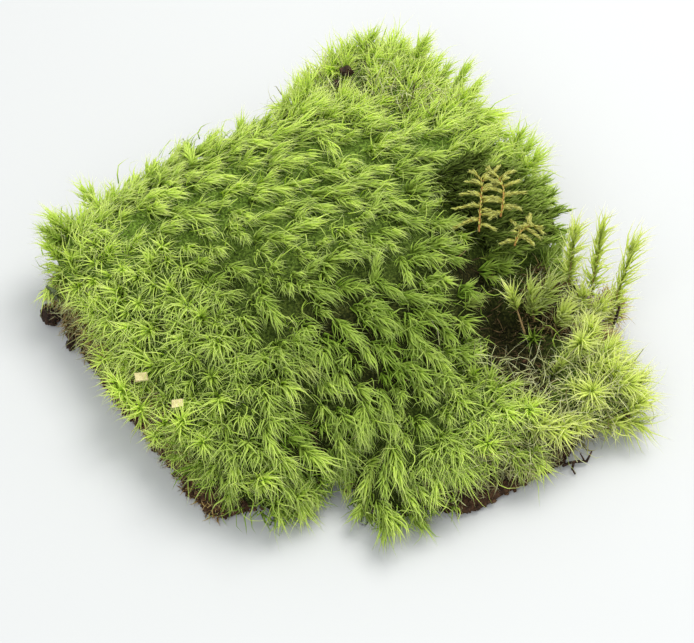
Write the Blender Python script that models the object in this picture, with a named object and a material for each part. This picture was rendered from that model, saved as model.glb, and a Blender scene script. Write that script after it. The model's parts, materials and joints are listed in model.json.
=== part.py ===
# A cut clump of broom moss on its mat of brown soil, with a second moss, feather moss fronds and crumbs.
# Lengths are written in millimetres and multiplied by MM. +Z is up and -Y faces the viewer.
import math
import random

import bmesh
import bpy
import numpy as np
from mathutils import Matrix, Vector
from mathutils.bvhtree import BVHTree

MM = 0.001
GAP = 0.3

# The soil mat that the clump was cut off with: levels of its ragged side and how far each is set in
MAT_LEVELS = (0.0, 1.7, 3.4, 5.0)
MAT_SET_IN = (1.8, 0.0, 0.8, 3.2)
MAT_RAGGEDNESS = 1.0
MAT_LEVEL_JITTER = 0.5
MAT_CORNERS = 100
MAT_OUTLINE = (
    (-102, 15), (-88, 24), (-66, 37), (-46, 47), (-27, 57), (-17, 74), (-7, 86), (8, 91), (28, 85),
    (40, 71), (53, 56), (65, 41), (74, 23), (80, 11), (89, 1), (91, -13), (94, -30), (96, -42),
    (87, -51), (81, -60), (74, -67), (65, -73), (54, -80), (46, -86), (38, -87), (31, -84), (23, -81),
    (14, -78), (6, -73), (-1, -66), (-8, -64), (-16, -71), (-27, -80), (-38, -89), (-47, -87),
    (-56, -76), (-67, -60), (-79, -43), (-91, -24), (-101, -9), (-105, 0), (-105.5, 8),
)

# The cushion: cells along and across, each cell one brush of leaves
CUSHION_BASE = MAT_LEVELS[-1] + GAP
CELLS_ALONG = 17
CELLS_ACROSS = 21
CELL_JITTER = 1.9
MERGED_SHARE = 0.09
DOME_RISE = 13.0
DOME_FLATNESS = 0.45
HEIGHT_JITTER = 0.8
LEAST_DEPTH = 2.4
SIDE_DROPS = (11.0, 20.0)
SIDE_SHARES = (0.72, 0.88)
SIDE_BULGE = (2.0, 1.8, -1.5)

# The brushes: a shoulder ring and a tip for each
SHOULDER_INSET = 0.19
SHOULDER_RISE = 3.2
SHOULDER_SHIFT = 2.0
TIP_RISE = 7.2
TIP_SHIFT = 7.0
LEAN_TURN = 0.4
STEEP_LEAN_LOSS = 0.5
BRUSH_HEIGHTS = (0.78, 1.28)
BRUSH_REACHES = (0.75, 1.2)
LEAST_BRUSH_AREA = 26.0
LEAST_OVER_MAT = 0.4
MAT_EDGE = 2.5
FLOOR_CLEARANCE = 0.8
SIDE_BRUSH_SHARE = 0.75
CALM_PASSES = 30
CALM_FACTOR = 0.8

# Rim of the cushion under the leaf tips, as x, y and z, along its four edges
BACK_LEFT_RIM = (
    (-108, 17, 33), (-90, 29, 39), (-67, 42, 43), (-47, 52, 44), (-25, 63, 44), (-15, 79, 46),
    (-4, 92, 48), (8, 97, 49),
)
BACK_RIGHT_RIM = (
    (8, 97, 49), (30, 91, 46), (43, 76, 44), (56, 60, 41), (69, 44, 39), (78, 24, 33), (85, 11, 18),
    (94, 1, 12), (95, -13, 11), (98, -30, 14), (102, -47, 14),
)
FRONT_RIGHT_RIM = ((17, -92, 8), (36, -82, 13), (52, -71, 15), (68, -65, 15), (84, -55, 15), (102, -47, 14))
FRONT_LEFT_RIM = (
    (-108, 17, 33), (-99, 0, 25), (-88, -14, 23), (-76, -33, 23), (-64, -50, 22), (-52, -68, 20),
    (-44, -80, 17), (-30, -89, 13), (-15, -84, 10), (-6, -70, 10), (2, -76, 10), (8, -88, 9),
    (17, -92, 8),
)

# Hollows in the cushion: x, y, half length, half width, turn in degrees, depth
HOLLOWS = (
    (0, 75, 13, 6, -8, 7),
    (24, 68, 14, 6, -22, 8),
    (-41, -14, 7, 6, 0, 6),
    (-70, -24, 7, 6, 0, 5),
    (-10, -30, 8, 6, 0, 4),
    (-8, -53, 12, 6, 0, 6),
    (-16, -68, 7, 9, 20, 8),
    (61, -22, 11, 17, 8, 27),
    (44, 0, 9, 8, 0, 6),
    (84, -4, 17, 12, 0, 11),
)

# The way the brushes lean: x, y, lean along x, lean along y, share of the full height
SWEEP = (
    (-92, 24, 0.75, 0.20, 1.15),
    (-50, 40, 0.95, 0.05, 1.10),
    (-25, 15, 1.00, -0.25, 0.85),
    (15, 35, 0.95, -0.15, 0.85),
    (12, 5, 0.85, -0.50, 0.80),
    (5, -35, 0.60, -0.75, 0.85),
    (12, -75, 0.30, -1.00, 0.85),
    (-45, -20, 0.60, -0.55, 0.90),
    (-78, -28, -0.05, -0.35, 1.00),
    (-45, -60, 0.35, -0.70, 0.90),
    (-28, -82, 0.75, -0.75, 0.80),
    (8, 88, 0.25, 0.10, 1.50),
    (45, 72, 0.55, 0.20, 1.25),
    (40, 20, 0.60, -0.10, 0.75),
    (80, 5, 0.35, 0.35, 0.80),
    (60, -18, 0.20, 0.00, 0.50),
    (92, -42, 0.70, 0.25, 1.10),
    (55, -62, 0.45, -0.30, 1.00),
)
SWEEP_REACH = 26.0
SIDE_DROOP = 0.35

# The dark second moss in its bed
PATCH_CENTRE = (58, 22)
PATCH_REACH = (23, 18)
PATCH_LOWEST = 25.0
BED_DEPTH = 5.0
BED_GROW = 3.0
SEAM_GROW = 6.0
UPRIGHT_GROW = 9.0
UPRIGHT_LEAN = 0.2
PATCH_LIFT = 3.0
PATCH_THICKNESS = 4.5
PATCH_MARGIN = 1.8
PATCH_TIP_RISE = 4.6
PATCH_TIP_LEAN = (3.0, 0.6, 0.0)
PATCH_TIP_HEIGHTS = (0.6, 1.3)
PATCH_TIP_LEANS = (0.3, 1.2)

# The low brown stand of dead stems at the right, where single shoots rise
STAND_CENTRE = (83, -4)
STAND_REACH = (20, 15)

# Single shoots: name, foot as x and y, head, radius of the plume, share of the length that is bare stem
LOOSE_SHOOTS = (
    ("tall_left", (90.5, -0.5), (92.5, 6, 58), 2.5, 0.42),
    ("tall_right", (97.5, -6.8), (105, 4, 52), 2.6, 0.36),
    ("tall_back", (82.5, 2.5), (82.5, 6, 56), 2.8, 0.40),
    ("rosette", (86, -4.5), (87.0, -5.0, 33), 2.6, 0.45),
    ("back_plume", (72.5, -6), (75, -3.0, 34), 2.8, 0.35),
    ("bare_stem", (66, -15.5), (58.0, -8.5, 38), 2.3, 0.58),
    ("front_left_plume", (78, -12), (81.5, -9.0, 30), 2.6, 0.35),
    ("front_right_plume", (91.4, -9.4), (95.6, -6.6, 30), 1.8, 0.45),
    ("left_plume", (69.5, -10.0), (66.0, -5.5, 36), 2.4, 0.35),
    ("front_plume", (85, -14.5), (90, -15, 27), 2.1, 0.35),
)
STEM_RADIUS = 0.75
STEM_BOW = 0.12
PLUME_SHARES = (0.0, 0.18, 0.45, 0.74, 1.0)
PLUME_RADII = (0.85, 1.0, 0.72)
PLUME_END_RADIUS = 0.25
PLUME_TIP_RISE = 3.6
PLUME_TIP_OUT = 0.8
PLUME_TIP_UP = 1.1
PLUME_TIP_LENGTHS = (0.6, 1.1)

# Feather moss fronds: name, points of the stem, side leaves as share of the stem, reach along x and along y
FRONDS = (
    ("feather_frond_left", ((48, 3, 50), (48.6, 11, 52), (49.3, 18, 53.5), (50, 24, 54), (47.5, 28, 54)), (
        (0.12, 5, -2), (0.22, -9, -4), (0.34, 5, -1), (0.42, -9, -1), (0.52, 6, 1), (0.60, -7, 0.5),
        (0.70, 5, 2), (0.78, -5, 1.5), (0.88, 4, 3),
    )),
    ("feather_frond_right", ((56, 9, 50), (57, 14, 52), (57.5, 19, 53.5), (56.5, 24, 54), (51.5, 28.5, 54)), (
        (0.10, -4, -3), (0.20, 6, -1), (0.30, -4, 0), (0.38, 8, 2), (0.52, 6, 4), (0.60, -3, 1), (0.72, 5, 4),
        (0.85, 2, 4),
    )),
    ("feather_frond_low", ((61, 2, 48), (62.5, 6, 50), (66, 9, 51), (71, 9.5, 50)), (
        (0.15, -5, -1), (0.30, 5, -4), (0.42, -3, 5), (0.55, 5, -4), (0.66, 1, 5), (0.80, 3, -3),
    )),
)
FROND_STEM_RADII = (0.75, 0.75, 0.75, 0.75, 0.75, 0.56, 0.25)
FROND_LEAF_RADII = (0.45, 0.65, 0.25)
FROND_SIDES = 4

# Rootlet at the front right: points and radii of the main root and of its forks
ROOTLET_ROOTS = (
    (((79.5, -68.0, 2.2), (82, -66.7, 2.0), (84.5, -66.1, 2.0), (88.5, -65.9, 1.9)), (0.7, 0.6, 0.6, 0.5)),
    (((88.1, -65.9, 1.9), (89.2, -64.3, 2.9), (90, -63.1, 4.2)), (0.5, 0.4, 0.25)),
    (((87.4, -66.0, 1.9), (86.6, -64.5, 2.7), (85.9, -63.5, 3.4)), (0.35, 0.3, 0.2)),
    (((83.6, -66.4, 2.0), (82.8, -68.9, 1.5), (83.8, -70.9, 1.0)), (0.5, 0.4, 0.3)),
)

# The dead needle at the right: its points and radii
NEEDLE_POINTS = ((100.1, -9.2, 30), (99.2, -10, 23.5), (98, -11, 17))
NEEDLE_RADII = (0.5, 0.65, 0.45)
ROOTLET_SIDES = 6
NEEDLE_SIDES = 6

# Crumbs: name, where it starts, half lengths, roughness, the way it settles and the most that it may move
CRUMBS = (
    ("left_clod", (-119, 1, 4.4), (4.2, 3.8, 3.4), 0.2, (1, 0.1, 0), 18.0),
    ("left_crumb", (-107.5, -18.2, 2.3), (1.5, 2.0, 1.7), 0.15, (0.8, 1, 0), 12.0),
    ("bark_crumb_large", (0.7, 81, 66), (2.6, 2.2, 2.3), 0.28, (0, 0, -1), 16.0),
    ("bark_crumb_small", (-3.1, 76.5, 64), (1.4, 1.3, 1.5), 0.25, (0, 0, -1), 16.0),
)

# Flakes: half lengths, tilt and turn in degrees, and how uneven their corners are
CHIP_REACH = (2.1, 1.4, 0.3)
CHIP_TILT = (28, 10)
CHIPS = (("pale_chip_upper", (-71, -47.5, 40)), ("pale_chip_lower", (-57.5, -60, 38)))
SCRAP_REACH = (2.4, 0.45, 3.4)
SCRAP_TILT = (12, -38)
SCRAP_START = (-112, -6, 19)
FLAKE_UNEVENNESS = 0.15

# How far loose pieces may move, and the way they go, until they touch what carries them
SETTLE_STEP = 0.25
DOWN = (0, 0, -1)
FROND_DROP = 6.0
CHIP_DROP = 20.0
ROOTLET_WAY = (-1, 0.6, 0)
ROOTLET_MOVE = 9.0
NEEDLE_DROP = 14.0
SCRAP_WAY = (0.7, 0.8, 0)
SCRAP_MOVE = 18.0

rng = random.Random(7)

for old in list(bpy.data.objects):
    bpy.data.objects.remove(old, do_unlink=True)
clump = bpy.data.collections.new("moss_clump")
bpy.context.scene.collection.children.link(clump)


def material(name, color, roughness):
    mat = bpy.data.materials.new(name)
    mat.use_nodes = True
    shader = mat.node_tree.nodes["Principled BSDF"]
    shader.inputs["Base Color"].default_value = (*color, 1.0)
    shader.inputs["Roughness"].default_value = roughness
    shader.inputs["Metallic"].default_value = 0.0
    return mat


BROOM_GREEN = material("broom_moss_green", (0.33, 0.47, 0.09), 0.75)
PALE_GREEN = material("loose_shoot_green", (0.42, 0.55, 0.14), 0.75)
DARK_GREEN = material("dark_moss_green", (0.10, 0.24, 0.04), 0.75)
OCHRE = material("feather_moss_ochre", (0.47, 0.38, 0.08), 0.75)
SOIL = material("soil_brown", (0.10, 0.05, 0.025), 0.95)
BARK = material("bark_brown", (0.05, 0.03, 0.02), 0.9)
CHIP_TAN = material("chip_tan", (0.62, 0.47, 0.26), 0.8)
WET_GREEN = material("wet_scrap_green", (0.07, 0.09, 0.04), 0.5)


def add_object(bm, name, mat):
    bmesh.ops.triangulate(bm, faces=bm.faces)
    bmesh.ops.recalc_face_normals(bm, faces=bm.faces)
    mesh = bpy.data.meshes.new(name)
    bm.to_mesh(mesh)
    bm.free()
    mesh.materials.append(mat)
    piece = bpy.data.objects.new(name, mesh)
    clump.objects.link(piece)
    return piece


def tree_of(*pieces):
    """A search tree over the surfaces of finished pieces."""
    verts, faces = [], []
    for piece in pieces:
        start = len(verts)
        verts += [v.co.copy() for v in piece.data.vertices]
        faces += [[start + i for i in f.vertices] for f in piece.data.polygons]
    return BVHTree.FromPolygons(verts, faces)


def shift(piece, step):
    for vert in piece.data.vertices:
        vert.co += step


def clearance(piece, others):
    """The least distance from the corners of a piece to the surfaces of others, and the other way round."""
    own, theirs = tree_of(piece), tree_of(*others)
    near = min(theirs.find_nearest(vert.co)[3] for vert in piece.data.vertices)
    for other in others:
        near = min(near, *(own.find_nearest(vert.co)[3] for vert in other.data.vertices))
    return near


def settle(piece, others, way, most):
    """Moves a piece step by step until it would touch the others, and leaves it a gap short of them."""
    ground = tree_of(*others)
    step = Vector(way).normalized() * SETTLE_STEP * MM
    for _ in range(round(most / SETTLE_STEP)):
        if tree_of(piece).overlap(ground):
            break
        shift(piece, step)
    shift(piece, -step)
    while clearance(piece, others) < GAP * MM:
        shift(piece, -step)


def along(points, share):
    """The point at this share of the length of a line through points."""
    points = np.asarray(points, float)
    steps = np.linalg.norm(np.diff(points, axis=0), axis=1)
    reach = np.concatenate(([0.0], np.cumsum(steps))) / steps.sum()
    return np.array([np.interp(share, reach, axis) for axis in points.T])


def rim_blend(u, v):
    """The cushion's surface between its four rims, before the dome and the hollows."""
    across = (1 - v) * along(BACK_LEFT_RIM, u) + v * along(FRONT_RIGHT_RIM, u)
    down = (1 - u) * along(FRONT_LEFT_RIM, v) + u * along(BACK_RIGHT_RIM, v)
    left, back = np.array(BACK_LEFT_RIM[0], float), np.array(BACK_LEFT_RIM[-1], float)
    front, right = np.array(FRONT_RIGHT_RIM[0], float), np.array(FRONT_RIGHT_RIM[-1], float)
    corners = (1 - u) * ((1 - v) * left + v * front) + u * ((1 - v) * back + v * right)
    return across + down - corners


def hollow_depth(x, y):
    depth = 0.0
    for cx, cy, long, wide, turn, deep in HOLLOWS:
        angle = math.radians(turn)
        a = ((x - cx) * math.cos(angle) + (y - cy) * math.sin(angle)) / long
        b = ((y - cy) * math.cos(angle) - (x - cx) * math.sin(angle)) / wide
        depth += deep * math.exp(-(a * a + b * b))
    return depth


def within(x, y, centre, reach, grow=0.0):
    a = (x - centre[0]) / (reach[0] + grow)
    b = (y - centre[1]) / (reach[1] + grow)
    return a * a + b * b < 1.0


def in_patch(x, y, grow=0.0):
    return within(x, y, PATCH_CENTRE, PATCH_REACH, grow)


def sweep(x, y):
    """The lean and the height share of the brushes at a place, blended from the nearest entries."""
    total = np.zeros(3)
    weight = 1e-9
    for sx, sy, lean_x, lean_y, high in SWEEP:
        near = math.exp(-((x - sx) ** 2 + (y - sy) ** 2) / SWEEP_REACH**2)
        total += near * np.array((lean_x, lean_y, high))
        weight += near
    return total / weight


def on_mat(x, y):
    """Whether a place lies over the mat, by counting the outline's crossings beyond it."""
    inside = False
    for (ax, ay), (bx, by) in zip(MAT_OUTLINE, MAT_OUTLINE[1:] + MAT_OUTLINE[:1]):
        if (ay > y) != (by > y) and x < ax + (y - ay) / (by - ay) * (bx - ax):
            inside = not inside
    return inside


def floor_at(x, y):
    """The lowest that a brush may reach: just over the mat, or just over the ground outside it."""
    steps = ((0, 0), (MAT_EDGE, 0), (-MAT_EDGE, 0), (0, MAT_EDGE), (0, -MAT_EDGE))
    near = any(on_mat(x + dx, y + dy) for dx, dy in steps)
    return CUSHION_BASE + LEAST_OVER_MAT if near else FLOOR_CLEARANCE


def cushion_top(bm):
    """The domed top as a stretched grid, with some cells merged in pairs. Returns its rows of corners."""
    rows = []
    for i in range(CELLS_ALONG + 1):
        row = []
        for j in range(CELLS_ACROSS + 1):
            u, v = i / CELLS_ALONG, j / CELLS_ACROSS
            x, y, z = rim_blend(u, v)
            inside = 0 < i < CELLS_ALONG and 0 < j < CELLS_ACROSS
            jitter = CELL_JITTER if inside else 0.5 * CELL_JITTER
            x += rng.uniform(-jitter, jitter)
            y += rng.uniform(-jitter, jitter)
            z += DOME_RISE * (16 * u * (1 - u) * v * (1 - v)) ** DOME_FLATNESS - hollow_depth(x, y)
            z += rng.uniform(-HEIGHT_JITTER, HEIGHT_JITTER)
            if in_patch(x, y, BED_GROW):
                z -= BED_DEPTH
            row.append(bm.verts.new(Vector((x, y, max(z, CUSHION_BASE + LEAST_DEPTH))) * MM))
        rows.append(row)
    for i in range(CELLS_ALONG):
        for j in range(CELLS_ACROSS):
            bm.faces.new((rows[i][j], rows[i][j + 1], rows[i + 1][j + 1], rows[i + 1][j]))
    merged, seams = set(), []
    for edge in bm.edges:
        pair = set(edge.link_faces)
        spot = (edge.verts[0].co + edge.verts[1].co) / 2 / MM
        if len(pair) == 2 and not pair & merged and not in_patch(spot.x, spot.y, SEAM_GROW):
            if rng.random() < MERGED_SHARE:
                merged |= pair
                seams.append(edge)
    bmesh.ops.dissolve_edges(bm, edges=seams, use_verts=False)
    return rows


def rim_loop(rows):
    last_i, last_j = len(rows) - 1, len(rows[0]) - 1
    loop = [rows[0][j] for j in range(last_j)]
    loop += [rows[i][last_j] for i in range(last_i)]
    loop += [rows[last_i][j] for j in range(last_j, 0, -1)]
    loop += [rows[i][0] for i in range(last_i, 0, -1)]
    return loop


def outward(spots, k):
    """The level direction out of a loop of points at its point k. The loop runs anticlockwise from above."""
    side = spots[(k + 1) % len(spots)] - spots[k - 1]
    return Vector((side.y, -side.x, 0.0)).normalized()


def add_sides(bm, loop):
    """Rings of the cushion's side, from the rim down to its flat underside, which is filled."""
    spots = [v.co.copy() for v in loop]
    low = CUSHION_BASE * MM
    above = loop
    for level, bulge in enumerate(SIDE_BULGE):
        ring = []
        for k, spot in enumerate(spots):
            depth = spot.z - low
            drop = depth
            if level < len(SIDE_DROPS):
                drop = min(SIDE_DROPS[level] * MM, SIDE_SHARES[level] * depth)
            step = outward(spots, k) * bulge * MM
            ring.append(bm.verts.new((spot.x + step.x, spot.y + step.y, spot.z - drop)))
        for k in range(len(loop)):
            n = (k + 1) % len(loop)
            bm.faces.new((above[k], above[n], ring[n], ring[k]))
        above = ring
    return bm.faces.new(above)


def brush(bm, face, height, shoulder, tip):
    """One brush of leaves on a cell: its shoulder is pushed out and its middle is pulled into a tip.

    Returns the moved corners with the places they were moved from.
    """
    normal = face.normal.copy()
    width = math.sqrt(face.calc_area())
    bmesh.ops.inset_individual(bm, faces=[face], thickness=SHOULDER_INSET * width, depth=0.0)
    ring = list(face.verts)
    peak = bmesh.ops.poke(bm, faces=[face], offset=0.0)["verts"][0]
    roots = [(vert, vert.co.copy()) for vert in (*ring, peak)]
    for vert in ring:
        vert.co += (normal * SHOULDER_RISE * height + shoulder) * MM
    peak.co += (normal * TIP_RISE * height + tip) * MM
    for vert in (*ring, peak):
        vert.co.z = max(vert.co.z, floor_at(vert.co.x / MM, vert.co.y / MM) * MM)
    return roots


def calm(bm, brushes, others=()):
    """Draws in every brush that runs into another part of the surface or into others, until none does."""
    bmesh.ops.triangulate(bm, faces=bm.faces)
    around = tree_of(*others) if others else None
    owner = {vert: k for k, roots in enumerate(brushes) for vert, _ in roots}
    for _ in range(CALM_PASSES):
        bm.faces.ensure_lookup_table()
        tree = BVHTree.FromBMesh(bm)
        crossed = set()
        for a, b in tree.overlap(tree):
            first, second = set(bm.faces[a].verts), set(bm.faces[b].verts)
            if a < b and not first & second:
                crossed |= {owner[vert] for vert in first | second if vert in owner}
        for a, _ in tree.overlap(around) if around else ():
            crossed |= {owner[vert] for vert in bm.faces[a].verts if vert in owner}
        if not crossed:
            return
        for k in crossed:
            for vert, root in brushes[k]:
                vert.co = root.lerp(vert.co, CALM_FACTOR)


def add_brushes(bm, underside):
    bm.normal_update()
    brushes = []
    for face in [f for f in bm.faces if f is not underside]:
        spot = face.calc_center_median() / MM
        bare = in_patch(spot.x, spot.y) or within(spot.x, spot.y, STAND_CENTRE, STAND_REACH)
        if bare or face.calc_area() < LEAST_BRUSH_AREA * MM * MM:
            continue
        lean_x, lean_y, high = sweep(spot.x, spot.y)
        steep = 1.0 - abs(face.normal.z)
        lean = Matrix.Rotation(rng.uniform(-LEAN_TURN, LEAN_TURN), 3, "Z") @ Vector((lean_x, lean_y, 0.0))
        lean -= face.normal * lean.dot(face.normal) * steep
        lean *= 1.0 - STEEP_LEAN_LOSS * steep
        lean.z -= SIDE_DROOP * steep
        if in_patch(spot.x, spot.y, UPRIGHT_GROW):
            lean *= UPRIGHT_LEAN
        height = high * rng.uniform(*BRUSH_HEIGHTS) * (1.0 - (1.0 - SIDE_BRUSH_SHARE) * steep)
        reach = rng.uniform(*BRUSH_REACHES)
        brushes.append(brush(bm, face, height, lean * SHOULDER_SHIFT * reach, lean * TIP_SHIFT * reach))
    calm(bm, brushes)


def build_cushion():
    """Builds the cushion and returns it with the corners of the cells that make the bed of the dark moss."""
    bm = bmesh.new()
    loop = rim_loop(cushion_top(bm))
    if sum(outward([v.co for v in loop], k).dot(v.co) for k, v in enumerate(loop)) < 0:
        loop.reverse()
    underside = add_sides(bm, loop)
    bmesh.ops.recalc_face_normals(bm, faces=bm.faces)
    bed = []
    for face in bm.faces:
        spot = face.calc_center_median() / MM
        if face.normal.z > 0.3 and in_patch(spot.x, spot.y) and spot.z > PATCH_LOWEST:
            bed.append([v.co.copy() for v in face.verts])
    add_brushes(bm, underside)
    return add_object(bm, "moss_cushion", BROOM_GREEN), bed


def build_patch(bed, others):
    """The dark moss: a layer shaped on its bed, whose top is parted into small leaning points."""
    bm = bmesh.new()
    made = {}
    for cell in bed:
        corners = []
        for co in cell:
            key = tuple(round(c / MM, 3) for c in co)
            if key not in made:
                made[key] = bm.verts.new(co)
            corners.append(made[key])
        bm.faces.new(corners)
    bmesh.ops.triangulate(bm, faces=bm.faces)
    ground = BVHTree.FromBMesh(bm)
    centre = sum((v.co for v in bm.verts), Vector()) / len(bm.verts)
    for vert in [v for v in bm.verts if v.is_boundary]:
        inwards = Vector(((centre - vert.co).x, (centre - vert.co).y, 0.0))
        spot = vert.co + inwards.normalized() * PATCH_MARGIN * MM
        hit = ground.ray_cast(spot + Vector((0, 0, 1.0)), Vector((0, 0, -1.0)))[0]
        vert.co = hit if hit else vert.co
    for vert in bm.verts:
        vert.co.z += PATCH_LIFT * MM
    lower = bm.faces[:]
    top = bmesh.ops.extrude_face_region(bm, geom=lower, use_keep_orig=True)["geom"]
    for vert in [item for item in top if isinstance(item, bmesh.types.BMVert)]:
        vert.co.z += PATCH_THICKNESS * MM
    cells = [item for item in top if isinstance(item, bmesh.types.BMFace)]
    bmesh.ops.recalc_face_normals(bm, faces=bm.faces)
    bmesh.ops.subdivide_edges(bm, edges=list({e for f in cells for e in f.edges}), cuts=1, use_grid_fill=True)
    bm.normal_update()
    points = []
    for face in [f for f in bm.faces if f.normal.z > 0.2 and len(f.verts) == 3]:
        normal = face.normal.copy()
        peak = bmesh.ops.poke(bm, faces=[face], offset=0.0)["verts"][0]
        points.append([(peak, peak.co.copy())])
        high = rng.uniform(*PATCH_TIP_HEIGHTS)
        lean = Vector(PATCH_TIP_LEAN) * rng.uniform(*PATCH_TIP_LEANS)
        peak.co += (normal * PATCH_TIP_RISE * high + lean) * MM
    calm(bm, points, others)
    return add_object(bm, "dark_moss_patch", DARK_GREEN)


def build_mat():
    """The mat: rings of corners round its outline, drawn in and out at random, closed by a flat cut below."""
    line = np.array((*MAT_OUTLINE, MAT_OUTLINE[0]), float)
    spots = [Vector((*along(line, k / MAT_CORNERS), 0.0)) for k in range(MAT_CORNERS)]
    if sum(outward(spots, k).dot(spot) for k, spot in enumerate(spots)) < 0:
        spots.reverse()
    bm = bmesh.new()
    below = None
    for level, set_in in zip(MAT_LEVELS, MAT_SET_IN):
        ring = []
        for k, spot in enumerate(spots):
            co = spot + outward(spots, k) * (rng.uniform(-MAT_RAGGEDNESS, MAT_RAGGEDNESS) - set_in)
            height = level
            if 0.0 < level < MAT_LEVELS[-1]:
                height += rng.uniform(-MAT_LEVEL_JITTER, MAT_LEVEL_JITTER)
            ring.append(bm.verts.new(Vector((co.x, co.y, height)) * MM))
        if below is None:
            bm.faces.new(ring)
        else:
            for k in range(len(ring)):
                n = (k + 1) % len(ring)
                bm.faces.new((below[k], below[n], ring[n], ring[k]))
        below = ring
    bm.faces.new(below)
    return add_object(bm, "soil_mat", SOIL)


def tube(points, radii, sides):
    """A closed stem through points, with its own radius at each, as a mesh."""
    curve = bpy.data.curves.new("stem_line", "CURVE")
    curve.dimensions = "3D"
    curve.use_fill_caps = True
    curve.bevel_depth = MM
    curve.bevel_resolution = (sides - 4) // 2
    line = curve.splines.new("POLY")
    line.points.add(len(points) - 1)
    for point, place, radius in zip(line.points, points, radii):
        point.co = (*(Vector(place) * MM), 1.0)
        point.radius = radius
    holder = bpy.data.objects.new("stem_line", curve)
    clump.objects.link(holder)
    shape = bpy.data.meshes.new_from_object(holder.evaluated_get(bpy.context.evaluated_depsgraph_get()))
    bpy.data.objects.remove(holder, do_unlink=True)
    bpy.data.curves.remove(curve)
    bm = bmesh.new()
    bm.from_mesh(shape)
    bmesh.ops.remove_doubles(bm, verts=bm.verts, dist=0.01 * MM)
    bmesh.ops.recalc_face_normals(bm, faces=bm.faces)
    bm.to_mesh(shape)
    bm.free()
    return shape


def joined(name, shapes, mat):
    """One solid made of overlapping meshes: the others are united with the first."""
    whole = bpy.data.objects.new(name, shapes[0])
    clump.objects.link(whole)
    others = [bpy.data.objects.new("branch", shape) for shape in shapes[1:]]
    for other in others:
        clump.objects.link(other)
        union = whole.modifiers.new("union", "BOOLEAN")
        union.operation = "UNION"
        union.solver = "EXACT"
        union.object = other
    united = bpy.data.meshes.new_from_object(whole.evaluated_get(bpy.context.evaluated_depsgraph_get()))
    for piece in (whole, *others):
        bpy.data.objects.remove(piece, do_unlink=True)
    bm = bmesh.new()
    bm.from_mesh(united)
    bmesh.ops.remove_doubles(bm, verts=bm.verts, dist=0.02 * MM)
    return add_object(bm, name, mat)


def ground_height(tree, x, y, reach):
    """The highest that the ground stands within reach of a place."""
    highest = 0.0
    for turn in range(8):
        angle = turn * math.pi / 4
        spot = Vector((x + reach * math.cos(angle), y + reach * math.sin(angle), 100.0)) * MM
        hit = tree.ray_cast(spot, Vector((0, 0, -1)))[0]
        highest = max(highest, hit.z / MM) if hit else highest
    return highest


def build_shoot(ground, name, foot, head, plume, bare):
    """A single shoot: a bare stem, a plume that swells and tapers, and leaf points standing out from it."""
    foot = Vector((*foot, ground_height(ground, *foot, 2 * STEM_RADIUS) + 2 * GAP))
    head = Vector(head)
    bow = Vector((-(head - foot).y, (head - foot).x, 0.0)) * STEM_BOW
    shares = (0.0, 0.5 * bare, *(bare + share * (1 - bare) for share in PLUME_SHARES))
    radii = (*[STEM_RADIUS] * 3, *(plume * radius for radius in PLUME_RADII), PLUME_END_RADIUS)
    points = [foot.lerp(head, s) + bow * math.sin(math.pi * s) for s in shares]
    bm = bmesh.new()
    bm.from_mesh(tube(points, radii, 6))
    bm.normal_update()
    upward = (head - foot).normalized()
    start = foot.lerp(head, bare).z * MM
    for face in [f for f in bm.faces if len(f.verts) == 4 and f.calc_center_median().z > start]:
        normal = face.normal.copy()
        peak = bmesh.ops.poke(bm, faces=[face], offset=0.0)["verts"][0]
        way = normal * PLUME_TIP_OUT + upward * PLUME_TIP_UP
        peak.co += way * PLUME_TIP_RISE * rng.uniform(*PLUME_TIP_LENGTHS) * MM
    return add_object(bm, "loose_shoot_" + name, PALE_GREEN)


def build_frond(name, stem, leaves):
    """A feather moss frond: a stem that thins towards its end, with side leaves joined to it."""
    last = len(FROND_STEM_RADII) - 1
    spots = [Vector(along(stem, k / last)) for k in range(last + 1)]
    shapes = [tube(spots, FROND_STEM_RADII, FROND_SIDES)]
    for share, reach_x, reach_y in leaves:
        root = Vector(along(stem, share))
        tip = root + Vector((reach_x, reach_y, -0.1 * abs(reach_x)))
        middle = root.lerp(tip, 0.5) + Vector((0.0, 0.0, 0.5))
        shapes.append(tube((root, middle, tip), FROND_LEAF_RADII, FROND_SIDES))
    return joined(name, shapes, OCHRE)


def build_lump(name, centre, reach, roughness):
    """A dark crumb: a ball drawn to its three half lengths and roughened."""
    bm = bmesh.new()
    bmesh.ops.create_icosphere(bm, subdivisions=2, radius=1.0)
    for vert in bm.verts:
        grow = 1.0 + rng.uniform(-roughness, roughness)
        vert.co = (Vector(centre) + Vector(c * r for c, r in zip(vert.co, reach)) * grow) * MM
    return add_object(bm, name, BARK)


def build_chip(name, centre, reach, tilt, mat):
    """A thin flake with uneven corners."""
    bm = bmesh.new()
    bmesh.ops.create_cube(bm, size=2.0)
    turn = Matrix.Rotation(math.radians(tilt[1]), 3, "Z") @ Matrix.Rotation(math.radians(tilt[0]), 3, "X")
    for vert in bm.verts:
        uneven = 1.0 + rng.uniform(-FLAKE_UNEVENNESS, FLAKE_UNEVENNESS)
        vert.co = (Vector(centre) + turn @ Vector(c * r for c, r in zip(vert.co, reach)) * uneven) * MM
    return add_object(bm, name, mat)


def centre_pieces():
    """Moves every piece so that the middle of the whole stands over the origin."""
    corners = np.array([vert.co for piece in clump.objects for vert in piece.data.vertices])
    middle = (corners.min(axis=0) + corners.max(axis=0)) / 2
    for piece in clump.objects:
        shift(piece, Vector((-middle[0], -middle[1], 0.0)))


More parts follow.
